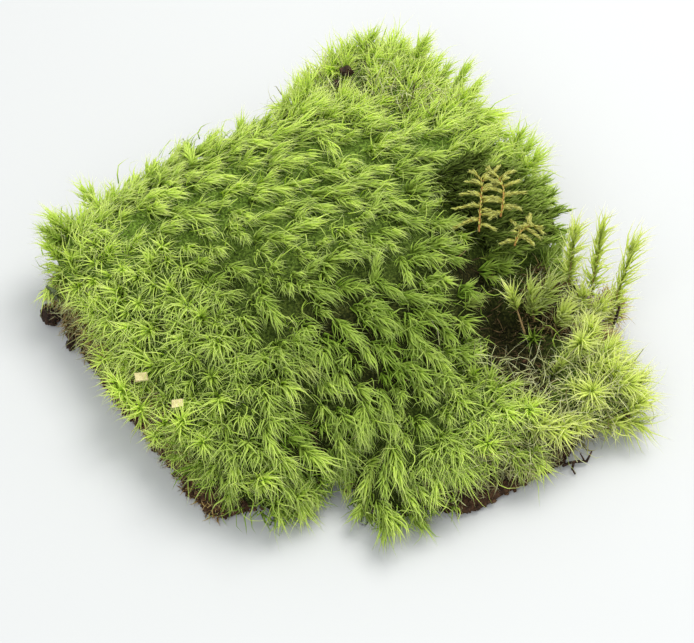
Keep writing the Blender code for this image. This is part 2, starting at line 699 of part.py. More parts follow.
cushion, bed_cells = build_cushion()
patch = build_patch(bed_cells, (cushion,))
settle(patch, (cushion,), DOWN, PATCH_LIFT)
mat = build_mat()
cushion_surface = tree_of(cushion)
for entry in LOOSE_SHOOTS:
    build_shoot(cushion_surface, *entry)
under = [patch, cushion]
for entry in FRONDS:
    frond = build_frond(*entry)
    settle(frond, under, DOWN, FROND_DROP)
    under.append(frond)
rootlet = joined("rootlet", [tube(points, radii, ROOTLET_SIDES) for points, radii in ROOTLET_ROOTS], BARK)
settle(rootlet, (cushion, mat), ROOTLET_WAY, ROOTLET_MOVE)
needle = joined("dead_needle", [tube(NEEDLE_POINTS, NEEDLE_RADII, NEEDLE_SIDES)], BARK)
settle(needle, (cushion,), DOWN, NEEDLE_DROP)
around = [cushion, mat]
for name, centre, reach, roughness, way, most in CRUMBS:
    crumb = build_lump(name, centre, reach, roughness)
    settle(crumb, around, way, most)
    around.append(crumb)
for name, centre in CHIPS:
    chip = build_chip(name, centre, CHIP_REACH, CHIP_TILT, CHIP_TAN)
    settle(chip, (cushion,), DOWN, CHIP_DROP)
scrap = build_chip("wet_scrap", SCRAP_START, SCRAP_REACH, SCRAP_TILT, WET_GREEN)
settle(scrap, (cushion,), SCRAP_WAY, SCRAP_MOVE)
centre_pieces()
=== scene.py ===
import json
import math

import bmesh
import bpy
import numpy as np
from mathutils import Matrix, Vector

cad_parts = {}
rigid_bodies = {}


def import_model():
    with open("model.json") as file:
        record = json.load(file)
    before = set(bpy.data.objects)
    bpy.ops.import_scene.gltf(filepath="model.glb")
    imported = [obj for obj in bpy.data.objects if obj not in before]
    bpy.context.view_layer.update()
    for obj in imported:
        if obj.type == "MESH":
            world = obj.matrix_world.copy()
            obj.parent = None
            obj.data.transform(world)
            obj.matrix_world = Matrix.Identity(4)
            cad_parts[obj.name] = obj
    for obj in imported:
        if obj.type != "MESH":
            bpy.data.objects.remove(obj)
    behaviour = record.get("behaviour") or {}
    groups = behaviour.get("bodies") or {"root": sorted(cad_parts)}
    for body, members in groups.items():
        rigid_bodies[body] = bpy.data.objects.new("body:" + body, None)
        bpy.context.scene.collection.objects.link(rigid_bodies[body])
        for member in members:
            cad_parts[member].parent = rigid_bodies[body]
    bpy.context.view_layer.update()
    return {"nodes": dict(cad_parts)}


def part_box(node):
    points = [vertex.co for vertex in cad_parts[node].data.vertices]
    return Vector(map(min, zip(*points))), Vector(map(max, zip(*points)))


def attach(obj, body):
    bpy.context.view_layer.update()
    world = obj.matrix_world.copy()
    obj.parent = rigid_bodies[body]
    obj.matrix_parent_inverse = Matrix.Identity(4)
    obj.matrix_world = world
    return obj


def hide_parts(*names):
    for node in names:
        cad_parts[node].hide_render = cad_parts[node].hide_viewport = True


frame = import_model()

# The looks of a cut clump of broom moss: its leaves, dark moss, fronds, loose shoots, soil and crumbs.
mm = 0.001
rng = np.random.default_rng(11)
goldenTurn = math.pi * (3 - math.sqrt(5))
toneColumns = 64
lowestLeaf = 0.4 * mm

# Places in the tables below are in millimetres on the ground, measured when the cushion's left end stood here.
tableLeft = -109.4
moved = np.array((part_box("moss_cushion")[0][0] / mm - tableLeft, 0.0))


# Small vector helpers. Every array holds one row for each place or direction.

def unit(rows):
    # Each row divided by its length.
    return rows / np.maximum(np.linalg.norm(rows, axis=-1, keepdims=True), 1e-12)


def blend(low, high, share):
    return low + (high - low) * share


def spread(low, high, count):
    return rng.uniform(low, high, count)


def aroundAxis(axes):
    # Two directions square to each axis and to each other.
    helper = np.where(np.abs(axes[:, 2:3]) < 0.9, (0.0, 0.0, 1.0), (1.0, 0.0, 0.0))
    first = unit(np.cross(helper, axes))
    return first, np.cross(axes, first)


def fieldAt(places, table, reach):
    # Values of a table of places, weighed by a bell curve of the level distance to each place, in millimetres.
    table = np.asarray(table, float)
    gap = places[:, None, :2] / mm - moved - table[None, :, :2]
    weight = np.exp(-(gap ** 2).sum(-1) / reach ** 2) + 1e-9
    return weight @ table[:, 2:] / weight.sum(1, keepdims=True)


def nearness(places, x, y, long, wide, turn=0.0):
    # A bell curve over a turned oval: one at its middle, and the inverse of e on its rim.
    level = places[:, :2] / mm - moved - (x, y)
    angle = math.radians(turn)
    a = (level[:, 0] * math.cos(angle) + level[:, 1] * math.sin(angle)) / long
    b = (level[:, 1] * math.cos(angle) - level[:, 0] * math.sin(angle)) / wide
    return np.exp(-(a ** 2 + b ** 2))


# Mesh helpers.

def meshObject(name, verts, faces, material, uvs=None, smooth=True):
    # A mesh from whole arrays. faces is a list of arrays of corner numbers, one array for each number of corners.
    mesh = bpy.data.meshes.new(name)
    sizes = np.concatenate([np.full(len(f), f.shape[1]) for f in faces])
    corners = np.concatenate([f.ravel() for f in faces])
    mesh.vertices.add(len(verts))
    mesh.vertices.foreach_set("co", verts.ravel())
    mesh.loops.add(len(corners))
    mesh.loops.foreach_set("vertex_index", corners.astype(np.int32))
    mesh.polygons.add(len(sizes))
    mesh.polygons.foreach_set("loop_start", np.concatenate(([0], np.cumsum(sizes)[:-1])).astype(np.int32))
    mesh.polygons.foreach_set("use_smooth", np.full(len(sizes), smooth))
    if uvs is not None:
        layer = mesh.uv_layers.new(name="OFBake")
        layer.data.foreach_set("uv", np.concatenate([u.ravel() for u in uvs]))
    mesh.update(calc_edges=True)
    mesh.validate()
    mesh.materials.append(material)
    piece = bpy.data.objects.new(name, mesh)
    bpy.context.scene.collection.objects.link(piece)
    return piece


def mergedCopy(node):
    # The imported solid's places and triangles, with the corners that lie together made one.
    bm = bmesh.new()
    bm.from_mesh(frame["nodes"][node].data)
    bmesh.ops.remove_doubles(bm, verts=bm.verts, dist=0.001 * mm)
    bmesh.ops.triangulate(bm, faces=bm.faces)
    mesh = bpy.data.meshes.new(node + "_merged")
    bm.to_mesh(mesh)
    bm.free()
    places = np.empty(len(mesh.vertices) * 3)
    mesh.vertices.foreach_get("co", places)
    corners = np.empty(len(mesh.polygons) * 3, np.int32)
    mesh.polygons.foreach_get("vertices", corners)
    bpy.data.meshes.remove(mesh)
    return places.reshape(-1, 3), corners.reshape(-1, 3)


def cornerNormals(places, faces):
    # The sum of the area-weighted normals of the faces round each corner, made one long.
    face = np.cross(places[faces[:, 1]] - places[faces[:, 0]], places[faces[:, 2]] - places[faces[:, 0]])
    total = np.zeros_like(places)
    for k in range(3):
        np.add.at(total, faces[:, k], face)
    return unit(total)


def edgePairs(faces):
    return np.unique(np.sort(np.concatenate([faces[:, [0, 1]], faces[:, [1, 2]], faces[:, [2, 0]]]), axis=1), axis=0)


def relaxed(places, pairs, passes, share=1.0):
    # Each corner moved by a share of the way to the middle of its neighbours, so many times over.
    count = np.bincount(pairs.ravel(), minlength=len(places))[:, None]
    for _ in range(passes):
        total = np.zeros_like(places)
        np.add.at(total, pairs[:, 0], places[pairs[:, 1]])
        np.add.at(total, pairs[:, 1], places[pairs[:, 0]])
        places = blend(places, total / count, share)
    return places


def applyModifiers(piece):
    mesh = bpy.data.meshes.new_from_object(piece.evaluated_get(bpy.context.evaluated_depsgraph_get()))
    piece.modifiers.clear()
    old = piece.data
    piece.data = mesh
    bpy.data.meshes.remove(old)
    return piece


def roughened(piece, levels, size, strength):
    # Subdivided, then pushed in and out by a cloud pattern of this size.
    divide = piece.modifiers.new("divide", "SUBSURF")
    divide.levels = levels
    divide.render_levels = levels
    pattern = bpy.data.textures.new(piece.name + "_clouds", "CLOUDS")
    pattern.noise_scale = size
    pattern.noise_depth = 2
    push = piece.modifiers.new("push", "DISPLACE")
    push.texture = pattern
    push.texture_coords = "LOCAL"
    push.strength = strength
    push.mid_level = 0.5
    return applyModifiers(piece)


# Materials.

def newGroup(name, inputs, outputs):
    group = bpy.data.node_groups.new(name, "ShaderNodeTree")
    for label, kind, value in inputs:
        socket = group.interface.new_socket(name=label, in_out="INPUT", socket_type=kind)
        socket.default_value = value
    for label, kind in outputs:
        group.interface.new_socket(name=label, in_out="OUTPUT", socket_type=kind)
    return group, group.nodes.new("NodeGroupInput"), group.nodes.new("NodeGroupOutput")


def mathNode(tree, operation, first, second=None, clamp=False):
    node = tree.nodes.new("ShaderNodeMath")
    node.operation = operation
    node.use_clamp = clamp
    for socket, value in zip(node.inputs, (first, second)):
        if isinstance(value, (int, float)):
            socket.default_value = value
        elif value is not None:
            tree.links.new(value, socket)
    return node.outputs[0]


def ramp(tree, share, stops):
    node = tree.nodes.new("ShaderNodeValToRGB")
    while len(node.color_ramp.elements) < len(stops):
        node.color_ramp.elements.new(0.5)
    for element, (place, colour) in zip(node.color_ramp.elements, stops):
        element.position = place
        element.color = (*colour, 1.0)
    tree.links.new(share, node.inputs[0])
    return node.outputs[0]


def colourMix(tree, share, first, second, way="MIX"):
    node = tree.nodes.new("ShaderNodeMixRGB")
    node.blend_type = way
    for socket, value in zip(node.inputs, (share, first, second)):
        if isinstance(value, (int, float)):
            socket.default_value = value
        elif isinstance(value, tuple):
            socket.default_value = (*value, 1.0)
        else:
            tree.links.new(value, socket)
    return node.outputs[0]


def leafTone(name, dark, light):
    # Colours from the leaf's own map: its column picks a tone between a dark and a light leaf, and the place along
    # the leaf runs up both colour ramps. The tone carries painted shade for low and hollow-lying leaves, and each ramp
    # darkens towards the leaf base, partly the leaf's own colour and partly painted shade deep in the tuft.
    group, source, sink = newGroup(name, (), (("Color", "NodeSocketColor"),))
    layer = group.nodes.new("ShaderNodeUVMap")
    layer.uv_map = "OFBake"
    parts = group.nodes.new("ShaderNodeSeparateXYZ")
    group.links.new(layer.outputs[0], parts.inputs[0])
    column = mathNode(group, "FLOOR", mathNode(group, "MULTIPLY", parts.outputs[0], float(toneColumns)))
    tone = mathNode(group, "DIVIDE", column, float(toneColumns - 1), clamp=True)
    low = ramp(group, parts.outputs[1], dark)
    high = ramp(group, parts.outputs[1], light)
    group.links.new(colourMix(group, tone, low, high), sink.inputs[0])
    return group


def leafMaterial(name, dark, light, roughness, through, throughTint):
    # A leaf shines back its colour and lets a share of the light through, tinted brighter.
    material = bpy.data.materials.new(name)
    material.use_nodes = True
    tree = material.node_tree
    shader = tree.nodes["Principled BSDF"]
    shader.inputs["Roughness"].default_value = roughness
    shader.inputs["Specular IOR Level"].default_value = 0.25
    tones = tree.nodes.new("ShaderNodeGroup")
    tones.node_tree = leafTone(name + "_tones", dark, light)
    tree.links.new(tones.outputs[0], shader.inputs["Base Color"])
    if through:
        glow = tree.nodes.new("ShaderNodeBsdfTranslucent")
        bright = colourMix(tree, 1.0, tones.outputs[0], throughTint, "MULTIPLY")
        tree.links.new(bright, glow.inputs["Color"])
        mix = tree.nodes.new("ShaderNodeMixShader")
        mix.inputs[0].default_value = through
        tree.links.new(shader.outputs[0], mix.inputs[1])
        tree.links.new(glow.outputs[0], mix.inputs[2])
        tree.links.new(mix.outputs[0], tree.nodes["Material Output"].inputs["Surface"])
    return material


def grainMaterial(name, stops, size, roughness, bump, bumpDistance=0.4, openStops=None):
    # A crumbly surface: noise of one size picks the colour, and a finer one roughens it. With openStops, a value
    # stored on the mesh blends from the first colours, nearly black with painted shade in the hollows, to the second,
    # in the open.
    material = bpy.data.materials.new(name)
    material.use_nodes = True
    tree = material.node_tree
    shader = tree.nodes["Principled BSDF"]
    shader.inputs["Roughness"].default_value = roughness
    shader.inputs["Specular IOR Level"].default_value = 0.25
    place = tree.nodes.new("ShaderNodeTexCoord")
    noise = tree.nodes.new("ShaderNodeTexNoise")
    noise.inputs["Scale"].default_value = 1.0 / (size * mm)
    noise.inputs["Detail"].default_value = 5.0
    noise.inputs["Roughness"].default_value = 0.65
    tree.links.new(place.outputs["Object"], noise.inputs["Vector"])
    colour = ramp(tree, noise.outputs[0], stops)
    if openStops:
        stored = tree.nodes.new("ShaderNodeAttribute")
        stored.attribute_name = "openness"
        colour = colourMix(tree, stored.outputs["Fac"], colour, ramp(tree, noise.outputs[0], openStops))
    tree.links.new(colour, shader.inputs["Base Color"])
    fine = tree.nodes.new("ShaderNodeTexNoise")
    fine.inputs["Scale"].default_value = 3.0 / (size * mm)
    fine.inputs["Detail"].default_value = 3.0
    tree.links.new(place.outputs["Object"], fine.inputs["Vector"])
    lift = tree.nodes.new("ShaderNodeBump")
    lift.inputs["Strength"].default_value = bump
    lift.inputs["Distance"].default_value = bumpDistance * mm
    tree.links.new(fine.outputs[0], lift.inputs["Height"])
    tree.links.new(lift.outputs[0], shader.inputs["Normal"])
    return material


broomLeaf = leafMaterial(
    "broom_leaf",
    ((0.0, (0.13, 0.21, 0.020)), (0.3, (0.22, 0.37, 0.030)), (0.8, (0.38, 0.56, 0.06)), (1.0, (0.54, 0.68, 0.18))),
    ((0.0, (0.56, 0.76, 0.10)), (0.3, (0.76, 0.91, 0.18)), (0.75, (0.89, 0.97, 0.38)), (1.0, (0.97, 0.99, 0.74))),
    0.55, 0.55, (1.0, 1.0, 0.82))
lobeLeaf = leafMaterial(
    "lobe_leaf",
    ((0.0, (0.14, 0.20, 0.025)), (0.3, (0.27, 0.38, 0.045)), (0.8, (0.46, 0.60, 0.11)), (1.0, (0.62, 0.74, 0.28))),
    ((0.0, (0.60, 0.72, 0.13)), (0.3, (0.82, 0.91, 0.25)), (0.75, (0.95, 0.98, 0.48)), (1.0, (0.99, 0.99, 0.82))),
    0.55, 0.55, (1.0, 1.0, 0.88))
darkLeaf = leafMaterial(
    "dark_moss_leaf",
    ((0.0, (0.03, 0.04, 0.006)), (0.5, (0.11, 0.16, 0.018)), (1.0, (0.20, 0.28, 0.04))),
    ((0.0, (0.18, 0.30, 0.03)), (0.5, (0.44, 0.60, 0.09)), (1.0, (0.72, 0.84, 0.28))),
    0.5, 0.5, (1.0, 1.0, 0.6))
deadLeaf = leafMaterial(
    "dead_leaf",
    ((0.0, (0.035, 0.020, 0.010)), (0.5, (0.08, 0.045, 0.02)), (1.0, (0.14, 0.09, 0.035))),
    ((0.0, (0.20, 0.12, 0.045)), (0.5, (0.40, 0.29, 0.11)), (1.0, (0.62, 0.53, 0.27))),
    0.7, 0.2, (1.0, 0.9, 0.7))
fibreLeaf = leafMaterial(
    "orange_fibre",
    ((0.0, (0.09, 0.035, 0.010)), (0.5, (0.20, 0.085, 0.02)), (1.0, (0.30, 0.15, 0.04))),
    ((0.0, (0.42, 0.26, 0.07)), (0.5, (0.68, 0.50, 0.18)), (1.0, (0.86, 0.74, 0.40))),
    0.7, 0.35, (1.0, 0.95, 0.75))
strawLeaf = leafMaterial(
    "straw_leaf",
    ((0.0, (0.12, 0.10, 0.03)), (0.5, (0.28, 0.26, 0.09)), (1.0, (0.44, 0.42, 0.18))),
    ((0.0, (0.44, 0.46, 0.18)), (0.5, (0.70, 0.73, 0.36)), (1.0, (0.92, 0.93, 0.66))),
    0.6, 0.4, (1.0, 1.0, 0.8))
ochreLeaf = leafMaterial(
    "ochre_leaf",
    ((0.0, (0.14, 0.11, 0.015)), (0.5, (0.28, 0.26, 0.03)), (1.0, (0.42, 0.42, 0.08))),
    ((0.0, (0.38, 0.36, 0.05)), (0.5, (0.60, 0.61, 0.13)), (1.0, (0.80, 0.82, 0.36))),
    0.5, 0.35, (1.0, 1.0, 0.6))
# The moss core: near black where painted shade fills the hollows, dark green in the open.
coreMaterial = grainMaterial(
    "moss_core",
    ((0.34, (0.003, 0.003, 0.001)), (0.50, (0.010, 0.011, 0.003)), (0.66, (0.045, 0.040, 0.012))), 0.9, 0.9, 1.0,
    openStops=((0.36, (0.03, 0.05, 0.007)), (0.50, (0.09, 0.15, 0.02)), (0.64, (0.20, 0.31, 0.045))))
coreMaterial.node_tree.nodes["Principled BSDF"].inputs["Specular IOR Level"].default_value = 0.05
soilMaterial = grainMaterial(
    "soil",
    ((0.32, (0.012, 0.006, 0.003)), (0.50, (0.045, 0.022, 0.010)), (0.68, (0.12, 0.06, 0.028))), 2.5, 0.95, 1.0)
barkMaterial = grainMaterial(
    "bark",
    ((0.35, (0.008, 0.005, 0.004)), (0.55, (0.035, 0.018, 0.010)), (0.70, (0.11, 0.055, 0.03))), 1.4, 0.85, 1.0)
chipMaterial = grainMaterial(
    "pale_chip",
    ((0.30, (0.38, 0.32, 0.14)), (0.55, (0.54, 0.47, 0.23)), (0.75, (0.68, 0.62, 0.36))), 1.6, 0.8, 0.8)
scrapMaterial = grainMaterial(
    "wet_scrap",
    ((0.35, (0.02, 0.03, 0.012)), (0.55, (0.07, 0.09, 0.035)), (0.75, (0.22, 0.26, 0.14))), 1.5, 0.35, 0.8)
print("materials done")


# Leaves and shoots.

def leaves(name, rows, material, rings, flat=0.3, taper=1.7, curl=0.20):
    # Each leaf is a three-sided needle. Its direction turns steadily from rows["start"] to rows["end"] and sways once
    # to a side and back, its middle line is the running sum of the directions, and its half width falls with a power
    # of the way still to go.
    count = len(rows["root"])
    shares = np.arange(rings) / rings
    turn = (((np.arange(rings) + 0.5) / rings) ** 1.2)[None, :, None]
    ways = unit(blend(rows["start"][:, None, :], rows["end"][:, None, :], turn))
    sway = rng.normal(0.0, curl, (count, 1, 3)) * np.cos(math.pi * 1.6 * turn)
    ways = unit(ways + sway + rng.normal(0.0, curl * 0.2, ways.shape))
    steps = ways * (rows["length"] / rings)[:, None, None]
    line = rows["root"][:, None, :] + np.concatenate((np.zeros((count, 1, 3)), np.cumsum(steps, axis=1)), axis=1)
    across = np.cross(rows["start"], rows["end"])
    first, _ = aroundAxis(rows["start"])
    across = unit(across + first * 0.05)
    twist = np.cross(ways[:, 0], across)
    swing = rng.normal(0.0, 0.5, count)[:, None]
    across = unit(across * np.cos(swing) + twist * np.sin(swing))[:, None, :]
    across = unit(across - ways * (across * ways).sum(-1, keepdims=True))
    over = np.cross(across, ways)
    half = rows["width"][:, None, None] * 0.5 * ((1.0 - shares) ** taper)[None, :, None]
    half = half * np.where(shares == 0.0, 0.7, 1.0)[None, :, None]
    body = line[:, :rings]
    ring = np.stack((body - across * half, body + across * half, body - over * half * flat * 2), axis=2)
    verts = np.concatenate((ring.reshape(count, rings * 3, 3), line[:, rings:]), axis=1)
    verts[:, :, 2] = np.maximum(verts[:, :, 2], lowestLeaf)
    size = rings * 3 + 1
    base = np.arange(count)[:, None, None] * size
    left, right, keel = (np.arange(rings) * 3 + k for k in range(3))
    quads = []
    for a, b in ((left, right), (right, keel), (keel, left)):
        quads.append(np.stack((a[:-1], b[:-1], b[1:], a[1:]), axis=1))
    quads = np.concatenate(quads)
    tip = size - 1
    last = (rings - 1) * 3
    tris = np.array(((last, last + 1, tip), (last + 1, last + 2, tip), (last + 2, last, tip), (0, 2, 1)))
    # Where each corner lies on the leaf's map: left, right and keel across it, base to tip along it.
    crossU = np.concatenate((np.tile((0.15, 0.85, 0.5), rings), (0.5,)))
    alongV = np.concatenate((np.repeat(0.02 + 0.96 * shares, 3), (0.99,)))
    mapU = (rows["column"][:, None] + crossU[None, :]) / toneColumns
    mapV = np.repeat(alongV[None, :], count, axis=0)
    cap = np.array((0.0, 0.02, 0.0))
    uvs = []
    for pattern in (quads, tris):
        uv = np.stack((mapU[:, pattern], mapV[:, pattern]), axis=-1)
        if pattern is tris:
            uv[:, 3, :, 1] = cap[None, :]
        uvs.append(uv)
    faces = [(base + pattern[None]).reshape(-1, pattern.shape[1]) for pattern in (quads, tris)]
    return meshObject(name, verts.reshape(-1, 3), faces, material, uvs)


def shootRows(shoots):
    # The leaves of many shoots as rows. A leaf's rank down its stem sets its depth, its turn round the stem by the
    # golden angle and how wide it stands; its far end turns out, droops, and is drawn to the side its shoot leans to.
    count = shoots["count"].astype(int)
    owner = np.repeat(np.arange(len(count)), count)
    rank = np.arange(count.sum()) - np.repeat(np.cumsum(count) - count, count)
    share = (rank + 0.5) / count[owner]
    total = len(owner)
    turn = rank * goldenTurn + spread(0, 2 * math.pi, len(count))[owner] + rng.normal(0, 0.25, total)
    axis = shoots["axis"][owner]
    first, second = aroundAxis(axis)
    radial = first * np.cos(turn)[:, None] + second * np.sin(turn)[:, None]
    depth = share ** shoots["crowd"][owner] * shoots["stem"][owner]
    bent = shoots["bend"][owner] * (depth ** 2 / np.maximum(shoots["stem"][owner], 1e-6))[:, None]
    root = shoots["apex"][owner] - axis * depth[:, None] - bent
    narrow, wide = shoots["narrow"][owner], shoots["wide"][owner]
    opening = blend(narrow, wide, share ** 0.8) + rng.normal(0, 0.12, total)
    start = axis * np.cos(opening)[:, None] + radial * np.sin(opening)[:, None]
    out = opening + shoots["flare"][owner] * (0.7 + 0.6 * rng.random(total))
    end = axis * np.cos(out)[:, None] + radial * np.sin(out)[:, None]
    drawn = (shoots["secund"][owner] * spread(0.75, 1.15, total))[:, None]
    end = end * (1.0 - np.minimum(drawn, 0.92)) + (shoots["sweep"][owner] - radial * 0.2) * drawn
    end = unit(end + rng.normal(0, 0.16, (total, 3)) + np.array((0, 0, -1.0)) * shoots["droop"][owner][:, None])
    length = shoots["leaf"][owner] * spread(0.72, 1.14, total) * (1.0 - 0.18 * share)
    # Leaves lower down the stem get a darker tone: painted shade deep in the shoot.
    tone = shoots["tone"][owner] + 0.40 * (0.35 - share) + rng.normal(0, 0.05, total)
    column = np.clip(np.floor(tone * toneColumns), 0, toneColumns - 1)
    width = shoots["width"][owner] * spread(0.8, 1.2, total)
    return {"root": root, "start": start, "end": end, "length": length, "width": width, "column": column}


def picked(rows, mask):
    return {key: value[mask] for key, value in rows.items()}


def joinedRows(*parts):
    return {key: np.concatenate([part[key] for part in parts]) for key in parts[0]}


# The broom moss cushion. Lengths are in millimetres, angles in radians.
cushion = {
    "leafLength": 10.8,
    "leafWidth": 1.5,
    "leavesPerShoot": 55,
    "leavesPerFiller": 18,
    "fillers": 780,
    "apexBelowTip": 4.0,
    "leastTip": 1.6,
    "rings": 4,
}
# x, y, lean along x, along y and up, how one-sided the leaves are, how star-like, tone, droop and leaf length. The
# tone is partly the moss's own colour and partly painted shade, lowest in the pit and the low middle.
cushionFields = (
    (-88, 21, 0.80, 0.20, 0.15, 0.60, 0.1, 0.98, 0.10, 1.00),
    (-46, 37, 0.95, 0.05, 0.05, 0.72, 0.0, 0.94, 0.10, 1.00),
    (-21, 12, 1.00, -0.25, -0.05, 0.74, 0.0, 0.80, 0.10, 1.00),
    (19, 32, 0.95, -0.15, -0.05, 0.74, 0.0, 0.82, 0.10, 1.00),
    (16, 2, 0.85, -0.50, -0.10, 0.68, 0.1, 0.66, 0.15, 1.00),
    (9, -38, 0.60, -0.75, -0.20, 0.60, 0.2, 0.28, 0.25, 1.00),
    (16, -78, 0.30, -1.00, -0.25, 0.60, 0.2, 0.50, 0.30, 1.05),
    (-41, -23, 0.60, -0.55, -0.10, 0.50, 0.4, 0.54, 0.25, 1.00),
    (-74, -31, -0.05, -0.35, -0.10, 0.15, 1.0, 0.92, 0.35, 1.20),
    (-41, -63, 0.35, -0.70, -0.20, 0.35, 0.8, 0.60, 0.35, 1.15),
    (-24, -85, 0.75, -0.75, -0.20, 0.50, 0.4, 0.64, 0.35, 1.15),
    (12, 85, 0.25, 0.10, 0.60, 0.25, 0.2, 1.30, 0.05, 1.15),
    (49, 69, 0.55, 0.20, 0.50, 0.35, 0.1, 1.25, 0.05, 1.15),
    (44, 17, 0.60, -0.10, 0.00, 0.60, 0.1, 0.54, 0.10, 0.95),
    (84, 2, 0.35, 0.35, 0.30, 0.35, 0.2, 0.80, 0.05, 1.00),
    (64, -21, 0.20, 0.00, 0.10, 0.30, 0.3, 0.22, 0.20, 0.95),
    (96, -45, 0.60, 0.20, 0.20, 0.25, 0.7, 1.15, 0.15, 1.30),
    (59, -65, 0.45, -0.30, 0.05, 0.30, 0.6, 0.78, 0.20, 1.10),
)
fieldReach = 26.0
# Hollows: x, y, half length, half width, turn in degrees, share of the shoots left out, and how much painted shade
# darkens the shoots and the core there
hollows = (
    (3.6, 71.9, 12, 4, -8, 0.6, 0.45),
    (27.6, 64.9, 13, 4, -22, 0.6, 0.45),
    (-42, -16, 7, 4, 0, 0.7, 0.7),
    (-62, -28, 7, 4, 0, 0.7, 0.6),
    (-2, -40, 8, 4, 0, 0.35, 0.5),
    (19, -55, 8, 5, 0, 0.7, 0.7),
    (-9, -74, 8, 8, 20, 0.9, 0.8),
    (33, -36, 7, 5, 0, 0.5, 0.6),
    (64.6, -25.1, 11, 16, 8, 2.2, 1.1),
    (68, -42, 11, 11, 0, 1.8, 1.0),
    (80, -58, 9, 5, 20, 0.8, 0.8),
    (93, -36, 8, 5, 0, 0.6, 0.7),
    (100, -62, 12, 6, 10, 0.6, 0.9),
    (49, -8, 10, 8, 0, 0.8, 0.8),
    (87.6, -7.1, 19, 14, 0, 1.6, 0.8),
)
# Brown edges, where green starts only at this height: x, y, half length, half width and height
brownEdges = (
    (-100, -18, 22, 24, 15),
    (-72, -55, 22, 20, 12),
    (-68, -60, 11, 9, 19),
    (-57, -73, 7, 7, 13),
    (62, -78, 34, 18, 9),
    (100, -8, 16, 12, 18),
)


def hollowness(places):
    # How far a place is left bare, and how much painted shade it gets: the strongest hollow counts.
    bare, dark = np.zeros(len(places)), np.zeros(len(places))
    for x, y, long, wide, turn, leftOut, hollowShade in hollows:
        near = nearness(places, x, y, long, wide, turn)
        bare = np.maximum(bare, near * leftOut)
        dark = np.maximum(dark, near * hollowShade)
    return bare, dark


def greenFrom(places):
    # The height that green shoots start at, in metres.
    height = np.zeros(len(places))
    for x, y, long, wide, start in brownEdges:
        height = np.maximum(height, np.where(nearness(places, x, y, long, wide) > math.exp(-1), start * mm, 0.0))
    return height


cushionPlaces, cushionFaces = mergedCopy("moss_cushion")
cushionPairs = edgePairs(cushionFaces)
smoothPlaces = relaxed(cushionPlaces, cushionPairs, 6)
smoothNormals = cornerNormals(smoothPlaces, cushionFaces)
standing = ((cushionPlaces - smoothPlaces) * smoothNormals).sum(1)
highest = np.full(len(standing), -1.0)
np.maximum.at(highest, cushionPairs[:, 0], standing[cushionPairs[:, 1]])
np.maximum.at(highest, cushionPairs[:, 1], standing[cushionPairs[:, 0]])
isTip = (standing > highest) & (standing > cushion["leastTip"] * mm)
tips = cushionPlaces[isTip]
tipNormals = smoothNormals[isTip]
tipAxes = unit(tips - smoothPlaces[isTip])
print("brush tips", len(tips))


def shootsAt(apexes, axes, normals, countEach, leafShare, toneShift, stem):
    # Shoots of broom moss at these places, with the lean, the star shape and the tone of the part of the cushion.
    # On the steep sides they hang outwards instead, and in the hollows they are darker with painted shade.
    values = fieldAt(apexes, cushionFields, fieldReach)
    number = len(apexes)
    steep = np.clip(1.0 - 1.25 * normals[:, 2:3], 0, 1)
    hanging = unit(normals * (1.0, 1.0, 0.0) + (0, 0, 1e-6)) + (0.0, 0.0, -0.25)
    sweep = blend(values[:, :3], hanging, steep * 0.8) + rng.normal(0, 0.36, (number, 3))
    sweep = unit(sweep - normals * (sweep * normals).sum(1, keepdims=True) * 0.6)
    star = np.clip(values[:, 4] + rng.normal(0, 0.12, number), 0, 1)
    lean = (1.0 - star)[:, None] * 0.45
    axes = unit(blend(blend(axes, normals, 0.35), sweep, lean) + rng.normal(0, 0.18, (number, 3)))
    size = spread(0.70, 1.25, number)
    return {
        "apex": apexes,
        "axis": axes,
        "sweep": sweep,
        "bend": sweep * 0.25,
        "secund": np.clip(values[:, 3] * spread(0.8, 1.35, number), 0, 0.95),
        "count": np.round(countEach * spread(0.75, 1.25, number)),
        "stem": stem * mm * spread(0.85, 1.25, number),
        "leaf": cushion["leafLength"] * mm * leafShare * size * values[:, 7],
        "width": np.full(number, cushion["leafWidth"] * mm),
        "crowd": np.full(number, 0.85),
        "narrow": blend(0.08, 0.35, star),
        "wide": blend(0.62, 1.10, star),
        "flare": blend(0.60, 0.75, star),
        "droop": values[:, 6] + 0.14,
        "tone": values[:, 5] + toneShift - 0.45 * hollowness(apexes)[1] + rng.normal(0, 0.09, number),
    }


def surfaceSamples(places, faces, normals, count, weight):
    # Random places on triangles, picked by area times weight, with the blended normal at each.
    area = np.linalg.norm(np.cross(places[faces[:, 1]] - places[faces[:, 0]],
                                   places[faces[:, 2]] - places[faces[:, 0]]), axis=1) * weight
    chosen = rng.choice(len(faces), count, p=area / area.sum())
    a, b = np.sqrt(rng.random(count)), rng.random(count)
    shares = np.stack((1 - a, a * (1 - b), a * b), axis=1)[:, :, None]
    return (places[faces[chosen]] * shares).sum(1), unit((normals[faces[chosen]] * shares).sum(1))


faceMiddles = cushionPlaces[cushionFaces].mean(1)
faceUp = smoothNormals[cushionFaces].mean(1)[:, 2]
onPatch = nearness(faceMiddles, 62, 19, 21, 16) > math.exp(-1)
onStand = nearness(faceMiddles, 87, -7, 20, 15) > math.exp(-1)
isGreen = (faceUp > -0.15) & ~onPatch & ~onStand & (faceMiddles[:, 2] > np.maximum(greenFrom(faceMiddles), 9 * mm))
greenWeight = isGreen * np.clip(1.0 - hollowness(faceMiddles)[0], 0, 1)
fillPlaces, fillNormals = surfaceSamples(
    blend(cushionPlaces, smoothPlaces, 0.3), cushionFaces, smoothNormals, cushion["fillers"] * 5, greenWeight)
fromTips = np.linalg.norm(fillPlaces[:, None] - tips[None], axis=-1).min(1) / mm + rng.normal(0, 0.8, len(fillPlaces))
chosen = np.argsort(-fromTips)[:cushion["fillers"]]
fillPlaces, fillNormals = fillPlaces[chosen], fillNormals[chosen]

